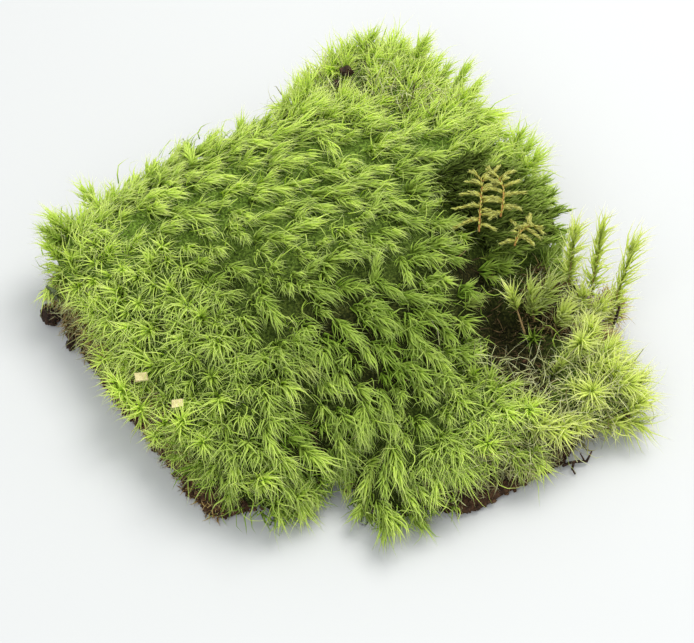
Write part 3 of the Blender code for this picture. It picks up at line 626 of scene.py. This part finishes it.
greenTips = (tipNormals[:, 2] > -0.35) & (tips[:, 2] > greenFrom(tips)) & (
    rng.random(len(tips)) > hollowness(tips)[0])
apexes = tips - tipAxes * cushion["apexBelowTip"] * mm + rng.normal(0, 0.9 * mm, tips.shape)
mainShoots = shootsAt(apexes, tipAxes, tipNormals, cushion["leavesPerShoot"], 1.0, 0.0, 8.0)
mainShoots = picked(mainShoots, greenTips)
# The fillers stand lower, between the shoots, and their tone is a little darker: painted shade.
fillShoots = shootsAt(
    fillPlaces + fillNormals * 1.0 * mm, fillNormals, fillNormals, cushion["leavesPerFiller"], 0.9, -0.08, 4.0)


def broomPieces(shoots, names, rings, material=broomLeaf):
    # The shoots from left to right, shared out over pieces with about as many leaves each.
    order = np.argsort(shoots["apex"][:, 0])
    shoots = {key: value[order] for key, value in shoots.items()}
    share = np.cumsum(shoots["count"]) / shoots["count"].sum()
    for k, name in enumerate(names):
        group = picked(shoots, (share > k / len(names)) & (share <= (k + 1) / len(names)))
        piece = leaves(name, shootRows(group), material, rings)
        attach(piece, "root")
        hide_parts("moss_cushion")


mainOnLobe = nearness(mainShoots["apex"], 92, -48, 34, 24, 20) > 0.37 + 0.15 * rng.normal(0, 1, len(mainShoots["leaf"]))
fillOnLobe = nearness(fillShoots["apex"], 92, -48, 34, 24, 20) > 0.37
broomPieces(picked(mainShoots, mainOnLobe), ("broom_moss_lobe",), 4, lobeLeaf)
fewer = fillOnLobe & (rng.random(len(fillOnLobe)) < 0.45)
broomPieces(picked(fillShoots, fewer), ("broom_moss_under_lobe",), 3, lobeLeaf)
mainShoots = picked(mainShoots, ~mainOnLobe)
fillShoots = picked(fillShoots, ~fillOnLobe)
broomPieces(mainShoots, ("broom_moss_left", "broom_moss_mid_left", "broom_moss_mid_right", "broom_moss_right"), 4)
broomPieces(fillShoots, ("broom_moss_under_left", "broom_moss_under_right"), 3)
print("broom moss done")

# Single tufts on the rims: x, y, how far the top stands over the cushion, lean along x and along y, how star-like,
# tone and leaf length. The first rows are upright plumes at the back, then curls at the left, stars and hanging tufts.
rimTufts = (
    (14, 93, 4, 0.05, 0.1, 0.0, 1.3, 11), (10, 90, 3, -0.3, 0.0, 0.1, 1.2, 10),
    (19, 91, 3, 0.4, 0.0, 0.1, 1.2, 10), (-4, 86, 3, -0.3, 0.1, 0.0, 1.2, 11),
    (-9, 80, 3, -0.4, 0.1, 0.1, 1.1, 11), (4, 82, 3, 0.1, 0.2, 0.2, 1.3, 11),
    (24, 88, 3, 0.2, 0.1, 0.0, 1.2, 10), (28, 87, 2, 0.5, 0.1, 0.1, 1.3, 10),
    (33, 86, 1, 0.4, 0.1, 0.0, 1.2, 10), (41, 80, 2, 0.5, 0.2, 0.1, 1.3, 11),
    (47, 74, 4, 0.5, 0.2, 0.0, 1.1, 11), (51, 70, 3, 0.6, 0.2, 0.1, 1.2, 11),
    (55, 66, 3, 0.6, 0.2, 0.1, 1.2, 11), (67, 48, 5, 0.3, 0.2, 0.3, 1.1, 13),
    (72, 39, 5, 0.6, 0.1, 0.2, 1.2, 13), (70, 44, 4, 0.5, 0.3, 0.3, 1.2, 12),
    (-13, 74, 4, -0.2, 0.2, 0.0, 1.1, 11), (-20, 66, 4, 0.1, 0.2, 0.0, 1.0, 11),
    (-36, 58, 4, 0.0, 0.3, 0.0, 1.0, 11), (-47, 53, 4, 0.1, 0.3, 0.0, 1.0, 11),
    (-59, 47, 4, -0.1, 0.3, 0.0, 1.0, 11), (-71, 43, 4, 0.0, 0.3, 0.0, 1.0, 11),
    (-83, 37, 4, -0.3, 0.3, 0.0, 1.0, 11), (-91, 31, 3, -0.5, 0.2, 0.1, 1.0, 12),
    (-98, 25, 3, -0.5, 0.2, 0.1, 1.0, 12), (-102, 18, 3, -0.5, 0.0, 0.1, 1.0, 12),
    (-104, 9, 2, -0.7, -0.1, 0.2, 0.5, 9), (-62, -66, 1, -0.3, -0.4, 1.0, 0.9, 9),
    (-77, -44, 3, -0.1, -0.3, 1.0, 1.0, 13), (-82, -31, 3, -0.1, -0.3, 1.0, 0.9, 13),
    (-68, -55, 11, 0.0, -0.2, 1.0, 1.0, 12), (-73, -51, 9, -0.1, -0.1, 1.0, 1.0, 12),
    (-54, -68, 11, 0.1, -0.1, 1.0, 1.0, 12), (-59, -64, 9, 0.0, 0.0, 1.0, 0.9, 12),
    (-34, -85, 3, 0.3, -0.6, 0.5, 0.8, 12), (-44, -77, 3, -0.1, -0.6, 0.6, 0.7, 12),
    (-25, -89, 3, 0.5, -0.6, 0.4, 0.9, 12), (-14, -89, 3, 0.7, -0.5, 0.3, 0.8, 12),
    (33, -90, 2, 0.3, -0.8, 0.3, 0.8, 11), (106, -52, 3, 0.8, 0.2, 0.4, 1.2, 12),
    (107, -44, 3, 0.6, 0.5, 0.3, 1.2, 12), (84, -61, 3, 0.5, -0.6, 0.8, 1.2, 11),
    (91, -27, 5, 0.1, 0.1, 0.8, 1.3, 12), (96, -33, 4, 0.4, 0.0, 0.7, 1.3, 13),
    (87, -33, 3, 0.1, -0.2, 0.9, 1.0, 12), (98, -46, 4, 0.3, 0.3, 0.8, 1.3, 14),
    (90, -52, 4, 0.0, -0.2, 1.0, 1.3, 14), (78, -66, 3, 0.2, -0.5, 0.9, 1.2, 13),
    (66, -62, 4, 0.2, -0.3, 0.9, 1.1, 13), (52, -74, 3, 0.1, -0.4, 0.9, 0.9, 13),
)
atX, atY, rise, leanX, leanY, star, tone, leaf = np.array(rimTufts, float).T
number = len(atX)
spots = np.stack((atX + moved[0], atY), axis=1) * mm
facing = np.where(smoothNormals[:, 2] > 0.0, 0.0, 1.0)
nearest = (np.linalg.norm(cushionPlaces[None, :, :2] - spots[:, None], axis=-1) + facing).argmin(1)
upward = unit(np.stack((leanX, leanY, 1.0 - 0.5 * star), axis=1))
tufts = {
    "apex": np.concatenate((spots, cushionPlaces[nearest, 2:3]), axis=1) + upward * rise[:, None] * mm,
    "axis": upward,
    "sweep": unit(np.stack((leanX + 0.25, leanY, 0.1 - 0.3 * star), axis=1)),
    "bend": np.zeros((number, 3)),
    "secund": blend(0.45, 0.10, star),
    "count": np.full(number, 60),
    "stem": (rise + 5.0) * mm,
    "leaf": leaf * mm,
    "width": np.full(number, 1.2 * mm),
    "crowd": np.full(number, 1.0),
    "narrow": blend(0.08, 0.40, star),
    "wide": blend(0.60, 1.25, star),
    "flare": blend(0.45, 0.60, star),
    "droop": 0.05 + 0.2 * star,
    "tone": tone,
}
onRight = atX > 76
for name, mask, material in (("rim_tufts", ~onRight, broomLeaf), ("rim_tufts_lobe", onRight, lobeLeaf)):
    piece = leaves(name, shootRows(picked(tufts, mask)), material, 4)
    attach(piece, "root")
    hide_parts("moss_cushion")
print("rim tufts done")

# Long thin single leaves that cross the tufts.
wisps = {"count": 900, "length": 12.5, "width": 0.6}
wispPlaces, wispNormals = surfaceSamples(cushionPlaces, cushionFaces, smoothNormals, wisps["count"], greenWeight)
values = fieldAt(wispPlaces, cushionFields, fieldReach)
number = wisps["count"]
rows = {
    "root": wispPlaces + wispNormals * 0.5 * mm,
    "start": unit(wispNormals * 0.9 + values[:, :3] * 0.5 + rng.normal(0, 0.45, (number, 3))),
    "end": unit(values[:, :3] * 0.8 + rng.normal(0, 0.5, (number, 3)) + (0, 0, -0.35)),
    "length": wisps["length"] * mm * spread(0.7, 1.25, number),
    "width": wisps["width"] * mm * spread(0.7, 1.2, number),
    "column": np.clip(np.floor((values[:, 5] + rng.normal(0.12, 0.15, number)) * toneColumns), 0, toneColumns - 1),
}
piece = leaves("broom_moss_wisps", rows, broomLeaf, 4, taper=1.0, curl=0.35)
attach(piece, "root")
print("wisps done")

# The dark inside of the cushion, a little within its solid: a sheet painted with the shade under the leaves.
core = {"drawIn": 2.6, "cloud": 0.004, "push": 0.0022, "lowest": 4.0}
corePlaces = relaxed(cushionPlaces, cushionPairs, 2) - smoothNormals * core["drawIn"] * mm
corePlaces[:, 2] = np.maximum(corePlaces[:, 2], core["lowest"] * mm)
mossCore = meshObject("moss_core", corePlaces, [cushionFaces], coreMaterial)
openness = mossCore.data.attributes.new("openness", "FLOAT", "POINT")
# Openness follows the tone of the part of the cushion, falls towards the bottom, and is taken away by the painted shade
# of the hollows.
opened = np.clip(fieldAt(corePlaces, cushionFields, fieldReach)[:, 5] * 1.6 - 0.5, 0, 1)
low = np.clip(corePlaces[:, 2] / (18 * mm), 0, 1)
openness.data.foreach_set("value", opened * low * np.clip(1.0 - 1.6 * hollowness(corePlaces)[1], 0, 1))
roughened(mossCore, 1, core["cloud"], core["push"])
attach(mossCore, "root")
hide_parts("moss_cushion")
print("core done")

# The second, darker moss.
darkMoss = {"shoots": 150, "leavesPerShoot": 26, "leafLength": 5.2, "leafWidth": 1.1, "stem": 12.0}
patchPlaces, patchFaces = mergedCopy("dark_moss_patch")
patchPairs = edgePairs(patchFaces)
patchSmooth = relaxed(patchPlaces, patchPairs, 3)
patchNormals = cornerNormals(patchSmooth, patchFaces)
patchUp = np.where(patchNormals[patchFaces].mean(1)[:, 2] > 0.1, 1.0, 0.0)
darkPlaces, darkNormals = surfaceSamples(patchPlaces, patchFaces, patchNormals, darkMoss["shoots"], patchUp)
number = len(darkPlaces)
darkWay = np.array((0.9, 0.2, 0.15)) + rng.normal(0, 0.24, (number, 3))
darkAxis = unit(darkWay + darkNormals * 0.3)
# The dark moss is darker at its left and front, painted shade, and lighter to the right and back.
toRight = (darkPlaces[:, 0] / mm - moved[0] - 50) / 34
toBack = (darkPlaces[:, 1] / mm - 12) / 40
darkMossShadeTone = np.clip(0.05 + 0.85 * toRight + 0.25 * toBack, 0.0, 0.95)
darkShoots = {
    "apex": darkPlaces + darkAxis * 3.0 * mm + darkNormals * 0.8 * mm,
    "axis": darkAxis,
    "sweep": darkAxis,
    "bend": darkNormals * 0.2,
    "secund": np.full(number, 0.2),
    "count": np.full(number, darkMoss["leavesPerShoot"]),
    "stem": darkMoss["stem"] * mm * spread(0.8, 1.2, number),
    "leaf": darkMoss["leafLength"] * mm * spread(0.85, 1.2, number),
    "width": np.full(number, darkMoss["leafWidth"] * mm),
    "crowd": np.full(number, 0.9),
    "narrow": np.full(number, 0.20),
    "wide": np.full(number, 0.80),
    "flare": np.full(number, -0.1),
    "droop": np.full(number, 0.0),
    "tone": darkMossShadeTone + rng.normal(0, 0.10, number),
}
piece = leaves("dark_moss_leaves", shootRows(darkShoots), darkLeaf, 3, taper=1.0, curl=0.25)
# Under the dark moss, the same core of painted shade, a quarter of the way to its open green.
darkCore = meshObject("dark_moss_core", relaxed(patchPlaces, patchPairs, 1) - patchNormals * 0.6 * mm,
                      [patchFaces], coreMaterial)
darkOpenness = darkCore.data.attributes.new("openness", "FLOAT", "POINT")
darkOpenness.data.foreach_set("value", np.full(len(patchPlaces), 0.25))
for each in (piece, darkCore):
    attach(each, "root")
    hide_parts("dark_moss_patch")
print("dark moss done")


def tube(name, lines, radii, sides, material):
    # A stem along each line: a ring of corners square to the line at each point, and a cap at both ends.
    lines, radii = np.asarray(lines), np.asarray(radii)
    count, points = lines.shape[:2]
    ways = unit(np.gradient(lines, axis=1))
    first, second = aroundAxis(ways.mean(1))
    first = unit(first[:, None, :] - ways * (first[:, None, :] * ways).sum(-1, keepdims=True))
    second = np.cross(ways, first)
    turn = np.arange(sides) * 2 * math.pi / sides
    ring = (first[:, :, None, :] * np.cos(turn)[None, None, :, None]
            + second[:, :, None, :] * np.sin(turn)[None, None, :, None]) * radii[:, :, None, None]
    verts = (lines[:, :, None, :] + ring).reshape(-1, 3)
    base = np.arange(count)[:, None, None] * points * sides
    here = np.arange(points - 1)[:, None] * sides
    k = np.arange(sides)[None, :]
    n = (k + 1) % sides
    quads = np.stack((here + k, here + n, here + n + sides, here + k + sides), axis=-1).reshape(1, -1, 4)
    caps = np.stack((np.arange(sides)[::-1], (points - 1) * sides + np.arange(sides)))[None]
    faces = [(base + quads).reshape(-1, 4), (base + caps).reshape(-1, sides)]
    return meshObject(name, verts, faces, material)


def tubeMaterial(name, colour, lighter):
    return grainMaterial(name, ((0.35, colour), (0.65, lighter)), 1.5, 0.8, 0.4, 0.15)


stemMaterial = tubeMaterial("stem", (0.19, 0.11, 0.04), (0.44, 0.32, 0.14))
frondStem = tubeMaterial("frond_stem", (0.20, 0.08, 0.02), (0.38, 0.20, 0.05))

# Loose shoots: node, foot, head, tone, leaves, the share of the height that is leafy, widest opening, leaf length,
# and how far the leaves are drawn to the right.
looseShoots = (
    ("tall_left", (94.1, -3.6), (96.1, 2.9, 55), 1.30, 120, 0.66, 0.90, 13.5, 0.40),
    ("tall_right", (101.1, -9.9), (108.6, 0.9, 49), 1.35, 130, 0.78, 0.95, 14.0, 0.60),
    ("tall_back", (86.1, -0.6), (86.1, 2.9, 53), 1.15, 110, 0.66, 0.85, 13.0, 0.40),
    ("rosette", (89.6, -7.6), (90.6, -8.1, 31), 1.00, 84, 0.45, 1.30, 12.0, 0.20),
    ("back_plume", (76.1, -9.1), (78.6, -6.1, 33), 0.62, 90, 0.55, 0.95, 12.5, 0.55),
    ("bare_stem", (69.6, -18.6), (61.6, -11.6, 36), 0.95, 44, 0.25, 0.50, 11.0, 0.20),
    ("front_left_plume", (81.6, -15.1), (85.1, -12.1, 28), 0.92, 80, 0.50, 0.95, 12.0, 0.60),
    ("front_right_plume", (95.0, -12.5), (99.2, -9.7, 28), 1.05, 80, 0.50, 0.95, 12.0, 0.55),
    ("front_plume", (88.6, -17.6), (93.6, -18.1, 25), 1.15, 80, 0.50, 1.05, 12.0, 0.55),
    ("left_plume", (73.1, -13.1), (69.6, -8.6, 34), 0.66, 84, 0.55, 0.95, 12.5, 0.60),
)
plume = {"pull": (0.95, 0.1, 0.0), "overHead": 8.0, "leafWidth": 1.25, "stemRadius": 0.45}
for name, foot, head, tone, count, leafy, wide, leaf, pulled in looseShoots:
    node = "loose_shoot_" + name
    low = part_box(node)[0][2] / mm
    start, stop = np.array((*foot, low)), np.array(head, float)
    start[:2] += moved
    stop[:2] += moved
    reach = stop - start
    height = np.linalg.norm(reach)
    axis = unit(reach[None])
    shoots = {
        "apex": (stop - axis * plume["overHead"]) * mm,
        "axis": axis,
        "sweep": unit(np.array(plume["pull"]) + 0.25 * axis),
        "bend": np.zeros((1, 3)),
        "secund": np.array((pulled,)),
        "count": np.array((count,)),
        "stem": np.array((height * leafy * mm,)),
        "leaf": np.array((leaf * mm,)),
        "width": np.array((plume["leafWidth"] * mm,)),
        "crowd": np.array((1.1,)),
        "narrow": np.array((0.12,)),
        "wide": np.array((wide,)),
        "flare": np.array((0.60,)),
        "droop": np.array((0.05,)),
        "tone": np.array((tone,)),
    }
    piece = leaves(node + "_leaves", shootRows(shoots), lobeLeaf, 4, taper=1.5)
    along = np.linspace(0, 1, 7)[:, None]
    line = (start + (reach - axis[0] * plume["overHead"]) * along) * mm
    stem = tube(node + "_stem", line[None], [np.linspace(1.0, 0.5, 7) * plume["stemRadius"] * mm], 6, stemMaterial)
    for each in (piece, stem):
        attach(each, "root")
        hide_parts(node)
print("loose shoots done")

# Feather moss fronds: points of the stem, then side leaves as share of the stem, reach along x and along y
fronds = {
    "feather_frond_left": (((48, 3, 50), (48.6, 11, 52), (49.3, 18, 53.5), (50, 24, 54), (47.5, 28, 54)), (
        (0.12, 5, -2), (0.22, -9, -4), (0.34, 5, -1), (0.42, -9, -1), (0.52, 6, 1), (0.60, -7, 0.5),
        (0.70, 5, 2), (0.78, -5, 1.5), (0.88, 4, 3))),
    "feather_frond_right": (((56, 9, 50), (57, 14, 52), (57.5, 19, 53.5), (56.5, 24, 54), (51.5, 28.5, 54)), (
        (0.10, -4, -3), (0.20, 6, -1), (0.30, -4, 0), (0.38, 8, 2), (0.52, 6, 4), (0.60, -3, 1), (0.72, 5, 4),
        (0.85, 2, 4))),
    "feather_frond_low": (((61, 2, 48), (62.5, 6, 50), (66, 9, 51), (71, 9.5, 50)), (
        (0.15, -5, -1), (0.30, 5, -4), (0.42, -3, 5), (0.55, 5, -4), (0.66, 1, 5), (0.80, 3, -3))),
}


def alongLine(points, shares):
    # Places at these shares of the length of a line through points.
    points = np.asarray(points, float)
    steps = np.linalg.norm(np.diff(points, axis=0), axis=1)
    reach = np.concatenate(([0.0], np.cumsum(steps))) / steps.sum()
    return np.stack([np.interp(shares, reach, axis) for axis in points.T], axis=-1)


for node, (stem, sides) in fronds.items():
    lines = [alongLine(stem, np.linspace(0, 1, 9))]
    between = [(at + 0.045, -0.6 * reachX, 0.4 * reachY + 1.5) for at, reachX, reachY in sides]
    for at, reachX, reachY in sides + tuple(between):
        root = alongLine(stem, at)
        tip = root + (reachX, reachY, -0.1 * abs(reachX))
        lines.append(alongLine((root, blend(root, tip, 0.5) + (0, 0, 0.5), tip), np.linspace(0, 1, 9)))
    lines = np.array(lines) * mm
    box = np.array(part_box(node))
    middle = (lines.reshape(-1, 3).min(0) + lines.reshape(-1, 3).max(0)) / 2
    lines += box.mean(0) - middle
    radii = np.repeat(np.linspace(0.26, 0.10, 9)[None] * mm, len(lines), axis=0)
    radii[0] *= 1.5
    stems = tube(node + "_stems", lines, radii, 5, frondStem)
    number = 34
    at = (np.arange(number) + 0.5) / number * 8
    lower = np.floor(at).astype(int)
    part = (at - lower)[None, :, None]
    roots = blend(lines[:, lower], lines[:, lower + 1], part).reshape(-1, 3)
    ways = unit((lines[:, lower + 1] - lines[:, lower]).reshape(-1, 3))
    level, upright = aroundAxis(ways)
    turn = (np.arange(len(roots)) * goldenTurn)[:, None]
    around = level * np.cos(turn) + upright * np.sin(turn)
    start = unit(ways + around * 0.50)
    end = unit(ways + around * 0.20 + (0, 0, 0.15))
    along = np.tile(at / 8, len(lines))
    rows = {
        "root": roots, "start": start, "end": end,
        "length": 2.2 * mm * spread(0.7, 1.3, len(roots)) * blend(1.1, 0.8, along),
        "width": 0.95 * mm * spread(0.8, 1.2, len(roots)),
        "column": np.clip(np.floor((0.50 + 0.4 * along + rng.normal(0, 0.20, len(roots))) * toneColumns),
                          0, toneColumns - 1),
    }
    scales = leaves(node + "_leaves", rows, ochreLeaf, 3, flat=0.3, taper=0.7)
    for each in (stems, scales):
        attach(each, "root")
        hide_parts(node)
print("fronds done")


# Soil, crumbs and dead leaves.

def lumps(name, centres, sizes, material, uneven=0.25):
    # Rough crumbs: the twelve corners of an icosahedron, each pushed in or out, stretched and turned at random.
    gold = (1 + math.sqrt(5)) / 2
    corners = []
    for a, b in ((1, gold), (-1, gold), (1, -gold), (-1, -gold)):
        corners += [(0, a, b), (a, b, 0), (b, 0, a)]
    corners = np.array(corners) / math.sqrt(1 + gold * gold)
    bm = bmesh.new()
    for corner in corners:
        bm.verts.new(corner)
    bmesh.ops.convex_hull(bm, input=bm.verts)
    bmesh.ops.recalc_face_normals(bm, faces=bm.faces)
    bm.verts.index_update()
    shape = np.array([v.co[:] for v in bm.verts])
    faces = np.array([[v.index for v in f.verts] for f in bm.faces])
    bm.free()
    count = len(centres)
    first = unit(rng.normal(0, 1, (count, 3)))
    second, third = aroundAxis(first)
    turns = np.stack((first, second, third), axis=1)
    pushed = shape[None] * (1 + rng.uniform(-uneven, uneven, (count, len(shape), 1)))
    pushed = pushed * sizes[:, None, None] * rng.uniform(0.6, 1.3, (count, 1, 3))
    verts = np.einsum("nij,njk->nik", pushed, turns) + centres[:, None, :]
    base = np.arange(count)[:, None, None] * len(shape)
    return meshObject(name, verts.reshape(-1, 3), [(base + faces[None]).reshape(-1, 3)], material, smooth=False)


soil = {"crumbs": 1900, "cloud": 0.003, "push": 0.0016}
matPlaces, matFaces = mergedCopy("soil_mat")
matNormals = cornerNormals(matPlaces, matFaces)
soilBody = meshObject("soil_body", matPlaces - matNormals * 0.3 * mm, [matFaces], soilMaterial)
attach(soilBody, "root")
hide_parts("soil_mat")

matMiddles = matPlaces[matFaces].mean(1)
sideWeight = np.where((np.abs(matNormals[matFaces].mean(1)[:, 2]) < 0.9) & (matMiddles[:, 2] > 0.5 * mm), 1.0, 0.0)
crumbPlaces, crumbNormals = surfaceSamples(matPlaces, matFaces, matNormals, soil["crumbs"] * 2 // 3, sideWeight)
lowWeight = np.where((faceMiddles[:, 2] < 11 * mm) & (faceMiddles[:, 2] > 5.5 * mm), 1.0, 0.0)
lowPlaces, lowNormals = surfaceSamples(cushionPlaces, cushionFaces, smoothNormals, soil["crumbs"] // 3, lowWeight)
places = np.concatenate((crumbPlaces, lowPlaces - lowNormals * 1.5 * mm))
sizes = rng.lognormal(math.log(0.55), 0.45, len(places)) * mm
places[:, 2] = np.maximum(places[:, 2], sizes * 1.6)
crumbs = lumps("soil_crumbs", places, sizes, soilMaterial)
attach(crumbs, "root")

def litter(name, places, normals, length, width, toneShift, material, sink=2.2):
    # Dead leaves that lie and curl every way on a surface, rooted a little below it.
    number = len(places)
    rows = {
        "root": places - normals * sink * mm,
        "start": unit(normals + rng.normal(0, 0.55, (number, 3))),
        "end": unit(normals * 0.2 + rng.normal(0, 0.8, (number, 3)) + (0, 0, -0.25)),
        "length": length * mm * spread(0.6, 1.3, number),
        "width": width * mm * spread(0.7, 1.4, number),
        "column": np.clip(np.floor((rng.beta(1.6, 2.0, number) + toneShift) * toneColumns), 0, toneColumns - 1),
    }
    piece = leaves(name, rows, material, 3, taper=0.8, curl=0.5)
    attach(piece, "root")


def scattered(count, weight):
    return surfaceSamples(cushionPlaces, cushionFaces, smoothNormals, count, weight)


def together(*samples):
    return [np.concatenate(parts) for parts in zip(*samples)]


# How many dead leaves lie in each place
dead = {"stand": 700, "side": 400, "hollow": 300, "edge": 900, "valley": 150, "lobe": 200, "corner": 500, "left": 420,
        "mat": 700, "hanging": 420}
middleHeight = faceMiddles[:, 2]
sideLow = (middleHeight < 15 * mm) & (middleHeight > 5 * mm) & (faceUp < 0.4)
inHollow = np.clip(hollowness(faceMiddles)[0] - 0.3, 0, 1) * (faceUp > 0)
litter("dead_leaves", *together(scattered(dead["stand"], onStand & (faceUp > -0.3)), scattered(dead["side"], sideLow)),
       7.0, 0.5, 0.0, deadLeaf)
# The dead leaves in the hollows are darker: painted shade.
litter("hollow_leaves", *scattered(dead["hollow"], inHollow), 7.0, 0.5, -0.40, deadLeaf)

isEdge = (middleHeight < greenFrom(faceMiddles) + 3 * mm) & (faceUp < 0.8) & (middleHeight > 3 * mm)
litter("orange_fibres", *scattered(dead["edge"], isEdge * (faceMiddles[:, 0] < 0)),
       7.0, 0.5, 0.12, fibreLeaf, sink=1.5)

# Pale dry leaves: across the fold valley, on the right lobe, over the brown corner and on the left side.
valley = nearness(faceMiddles, 3.6, 71.9, 13, 6, -8) + nearness(faceMiddles, 27.6, 64.9, 14, 6, -22)
rightLobe = nearness(faceMiddles, 86, -50, 24, 14) * (faceUp > 0.0)
corner = nearness(faceMiddles, 66, -78, 30, 14) * (faceUp < 0.75)
leftSide = isEdge * (faceMiddles[:, 0] < 0)
litter("dry_leaves", *together(scattered(dead["valley"], valley * (faceUp > 0.3)), scattered(dead["lobe"], rightLobe)),
       13.0, 0.6, 0.35, strawLeaf, sink=0.0)
litter("corner_leaves", *together(scattered(dead["corner"], corner), scattered(dead["left"], leftSide)),
       9.0, 0.6, -0.05, strawLeaf, sink=1.0)

# Orange fibres on the cut side of the soil at the left, and green leaves that hang over it at the front.
matX, matY = matMiddles[:, 0] / mm, matMiddles[:, 1] / mm
litter("mat_fibres", *surfaceSamples(matPlaces, matFaces, matNormals, dead["mat"], sideWeight * (matX < -38)),
       4.0, 0.55, 0.10, fibreLeaf, sink=0.6)
lowFront = (middleHeight < 20 * mm) & (middleHeight > 5 * mm) & (faceUp < 0.6) & (faceMiddles[:, 1] < -66 * mm)
litter("hanging_leaves", *scattered(dead["hanging"], lowFront * (faceMiddles[:, 0] < 40 * mm)),
       10.0, 0.9, -0.15, broomLeaf, sink=0.5)

# The fuzz of orange fibres at the right end: directions from the middle of a ball, drawn out to ovals.
fuzz = {"count": 330, "middles": ((101.5, -3.0, 9.5), (98.5, -18.0, 7.5)),
        "halves": ((6.0, 7.0, 8.0), (4.5, 5.0, 6.0)), "length": 7.0, "width": 0.4}
samples = []
for middle, half in zip(fuzz["middles"], fuzz["halves"]):
    ways = unit(rng.normal(0, 1, (fuzz["count"], 3)) + (0.4, -0.1, 0.5))
    samples.append(((np.array(middle) + (*moved, 0.0) + ways * half * 0.8) * mm, ways))
litter("orange_fuzz", *together(*samples), fuzz["length"], fuzz["width"], 0.45, fibreLeaf, sink=1.0)
print("soil and dead leaves done")

# Small crumbs on the clod at the left corner.
for node, count in (("left_clod", 70), ("left_crumb", 24)):
    places, faces = mergedCopy(node)
    normals = cornerNormals(places, faces)
    spots, ways = surfaceSamples(places, faces, normals, count, np.ones(len(faces)))
    sizes = rng.lognormal(math.log(0.7), 0.35, count) * mm
    spots[:, 2] = np.maximum(spots[:, 2], sizes * 1.6)
    piece = lumps(node + "_crumbs", spots, sizes, barkMaterial)
    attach(piece, "root")

# Crumbs, chips, needle, rootlet and scrap keep their solids and get a finish of their own.
finishes = {
    "left_clod": barkMaterial, "left_crumb": barkMaterial, "bark_crumb_large": barkMaterial,
    "bark_crumb_small": barkMaterial, "dead_needle": barkMaterial, "rootlet": barkMaterial,
    "pale_chip_upper": chipMaterial, "pale_chip_lower": chipMaterial, "wet_scrap": scrapMaterial,
}
for node, finish in finishes.items():
    for slot in frame["nodes"][node].material_slots:
        slot.material = finish

# Floor, light and camera.
stage = {"size": 6.0, "colour": (0.465, 0.47, 0.472)}
floorMesh = bpy.data.meshes.new("floor")
half = stage["size"] / 2
floorMesh.from_pydata([(-half, -half, 0), (half, -half, 0), (half, half, 0), (-half, half, 0)], [], [(0, 1, 2, 3)])
floorPiece = bpy.data.objects.new("floor", floorMesh)
bpy.context.scene.collection.objects.link(floorPiece)
paper = bpy.data.materials.new("paper")
paper.use_nodes = True
paperShader = paper.node_tree.nodes["Principled BSDF"]
paperShader.inputs["Base Color"].default_value = (*stage["colour"], 1.0)
paperShader.inputs["Roughness"].default_value = 0.9
paperShader.inputs["Specular IOR Level"].default_value = 0.1
floorMesh.materials.append(paper)

world = bpy.context.scene.world or bpy.data.worlds.new("world")
bpy.context.scene.world = world
world.use_nodes = True
background = world.node_tree.nodes["Background"]
background.inputs["Color"].default_value = (0.96, 0.99, 1.0, 1.0)
background.inputs["Strength"].default_value = 0.9


def softBox(name, place, aim, size, power, colour):
    lamp = bpy.data.lights.new(name, "AREA")
    lamp.shape = "SQUARE"
    lamp.size = size
    lamp.energy = power
    lamp.color = colour
    holder = bpy.data.objects.new(name, lamp)
    holder.location = place
    holder.rotation_euler = (Vector(aim) - Vector(place)).to_track_quat("-Z", "Y").to_euler()
    bpy.context.scene.collection.objects.link(holder)


softBox("key", (0.45, 0.35, 1.1), (0, 0, 0), 0.7, 17.0, (1.0, 0.99, 0.96))
softBox("fill", (-0.3, -0.9, 1.1), (0, 0, 0), 0.9, 9.0, (0.97, 1.0, 1.0))

view = {"target": (0.0043, -0.0181, 0.02), "elevation": 50.0, "distance": 0.70, "lens": 100.0}
tilt = math.radians(view["elevation"])
lens = bpy.data.cameras.new("camera")
lens.lens = view["lens"]
lens.sensor_width = 36.0
lens.clip_start = 0.01
eye = bpy.data.objects.new("camera", lens)
target = Vector(view["target"]) + Vector((moved[0] * mm, 0, 0))
eye.location = target + Vector((0, -math.cos(tilt), math.sin(tilt))) * view["distance"]
eye.rotation_euler = (math.pi / 2 - tilt, 0, 0)
bpy.context.scene.collection.objects.link(eye)
bpy.context.scene.camera = eye
bpy.context.scene.view_settings.view_transform = "Standard"

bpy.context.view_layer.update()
for piece in bpy.context.scene.objects:
    if piece.type == "MESH" and len(piece.data.polygons) > 3000:
        piece.data.calc_loop_triangles()
        print(piece.name, len(piece.data.loop_triangles), "triangles")
print("all pieces done")
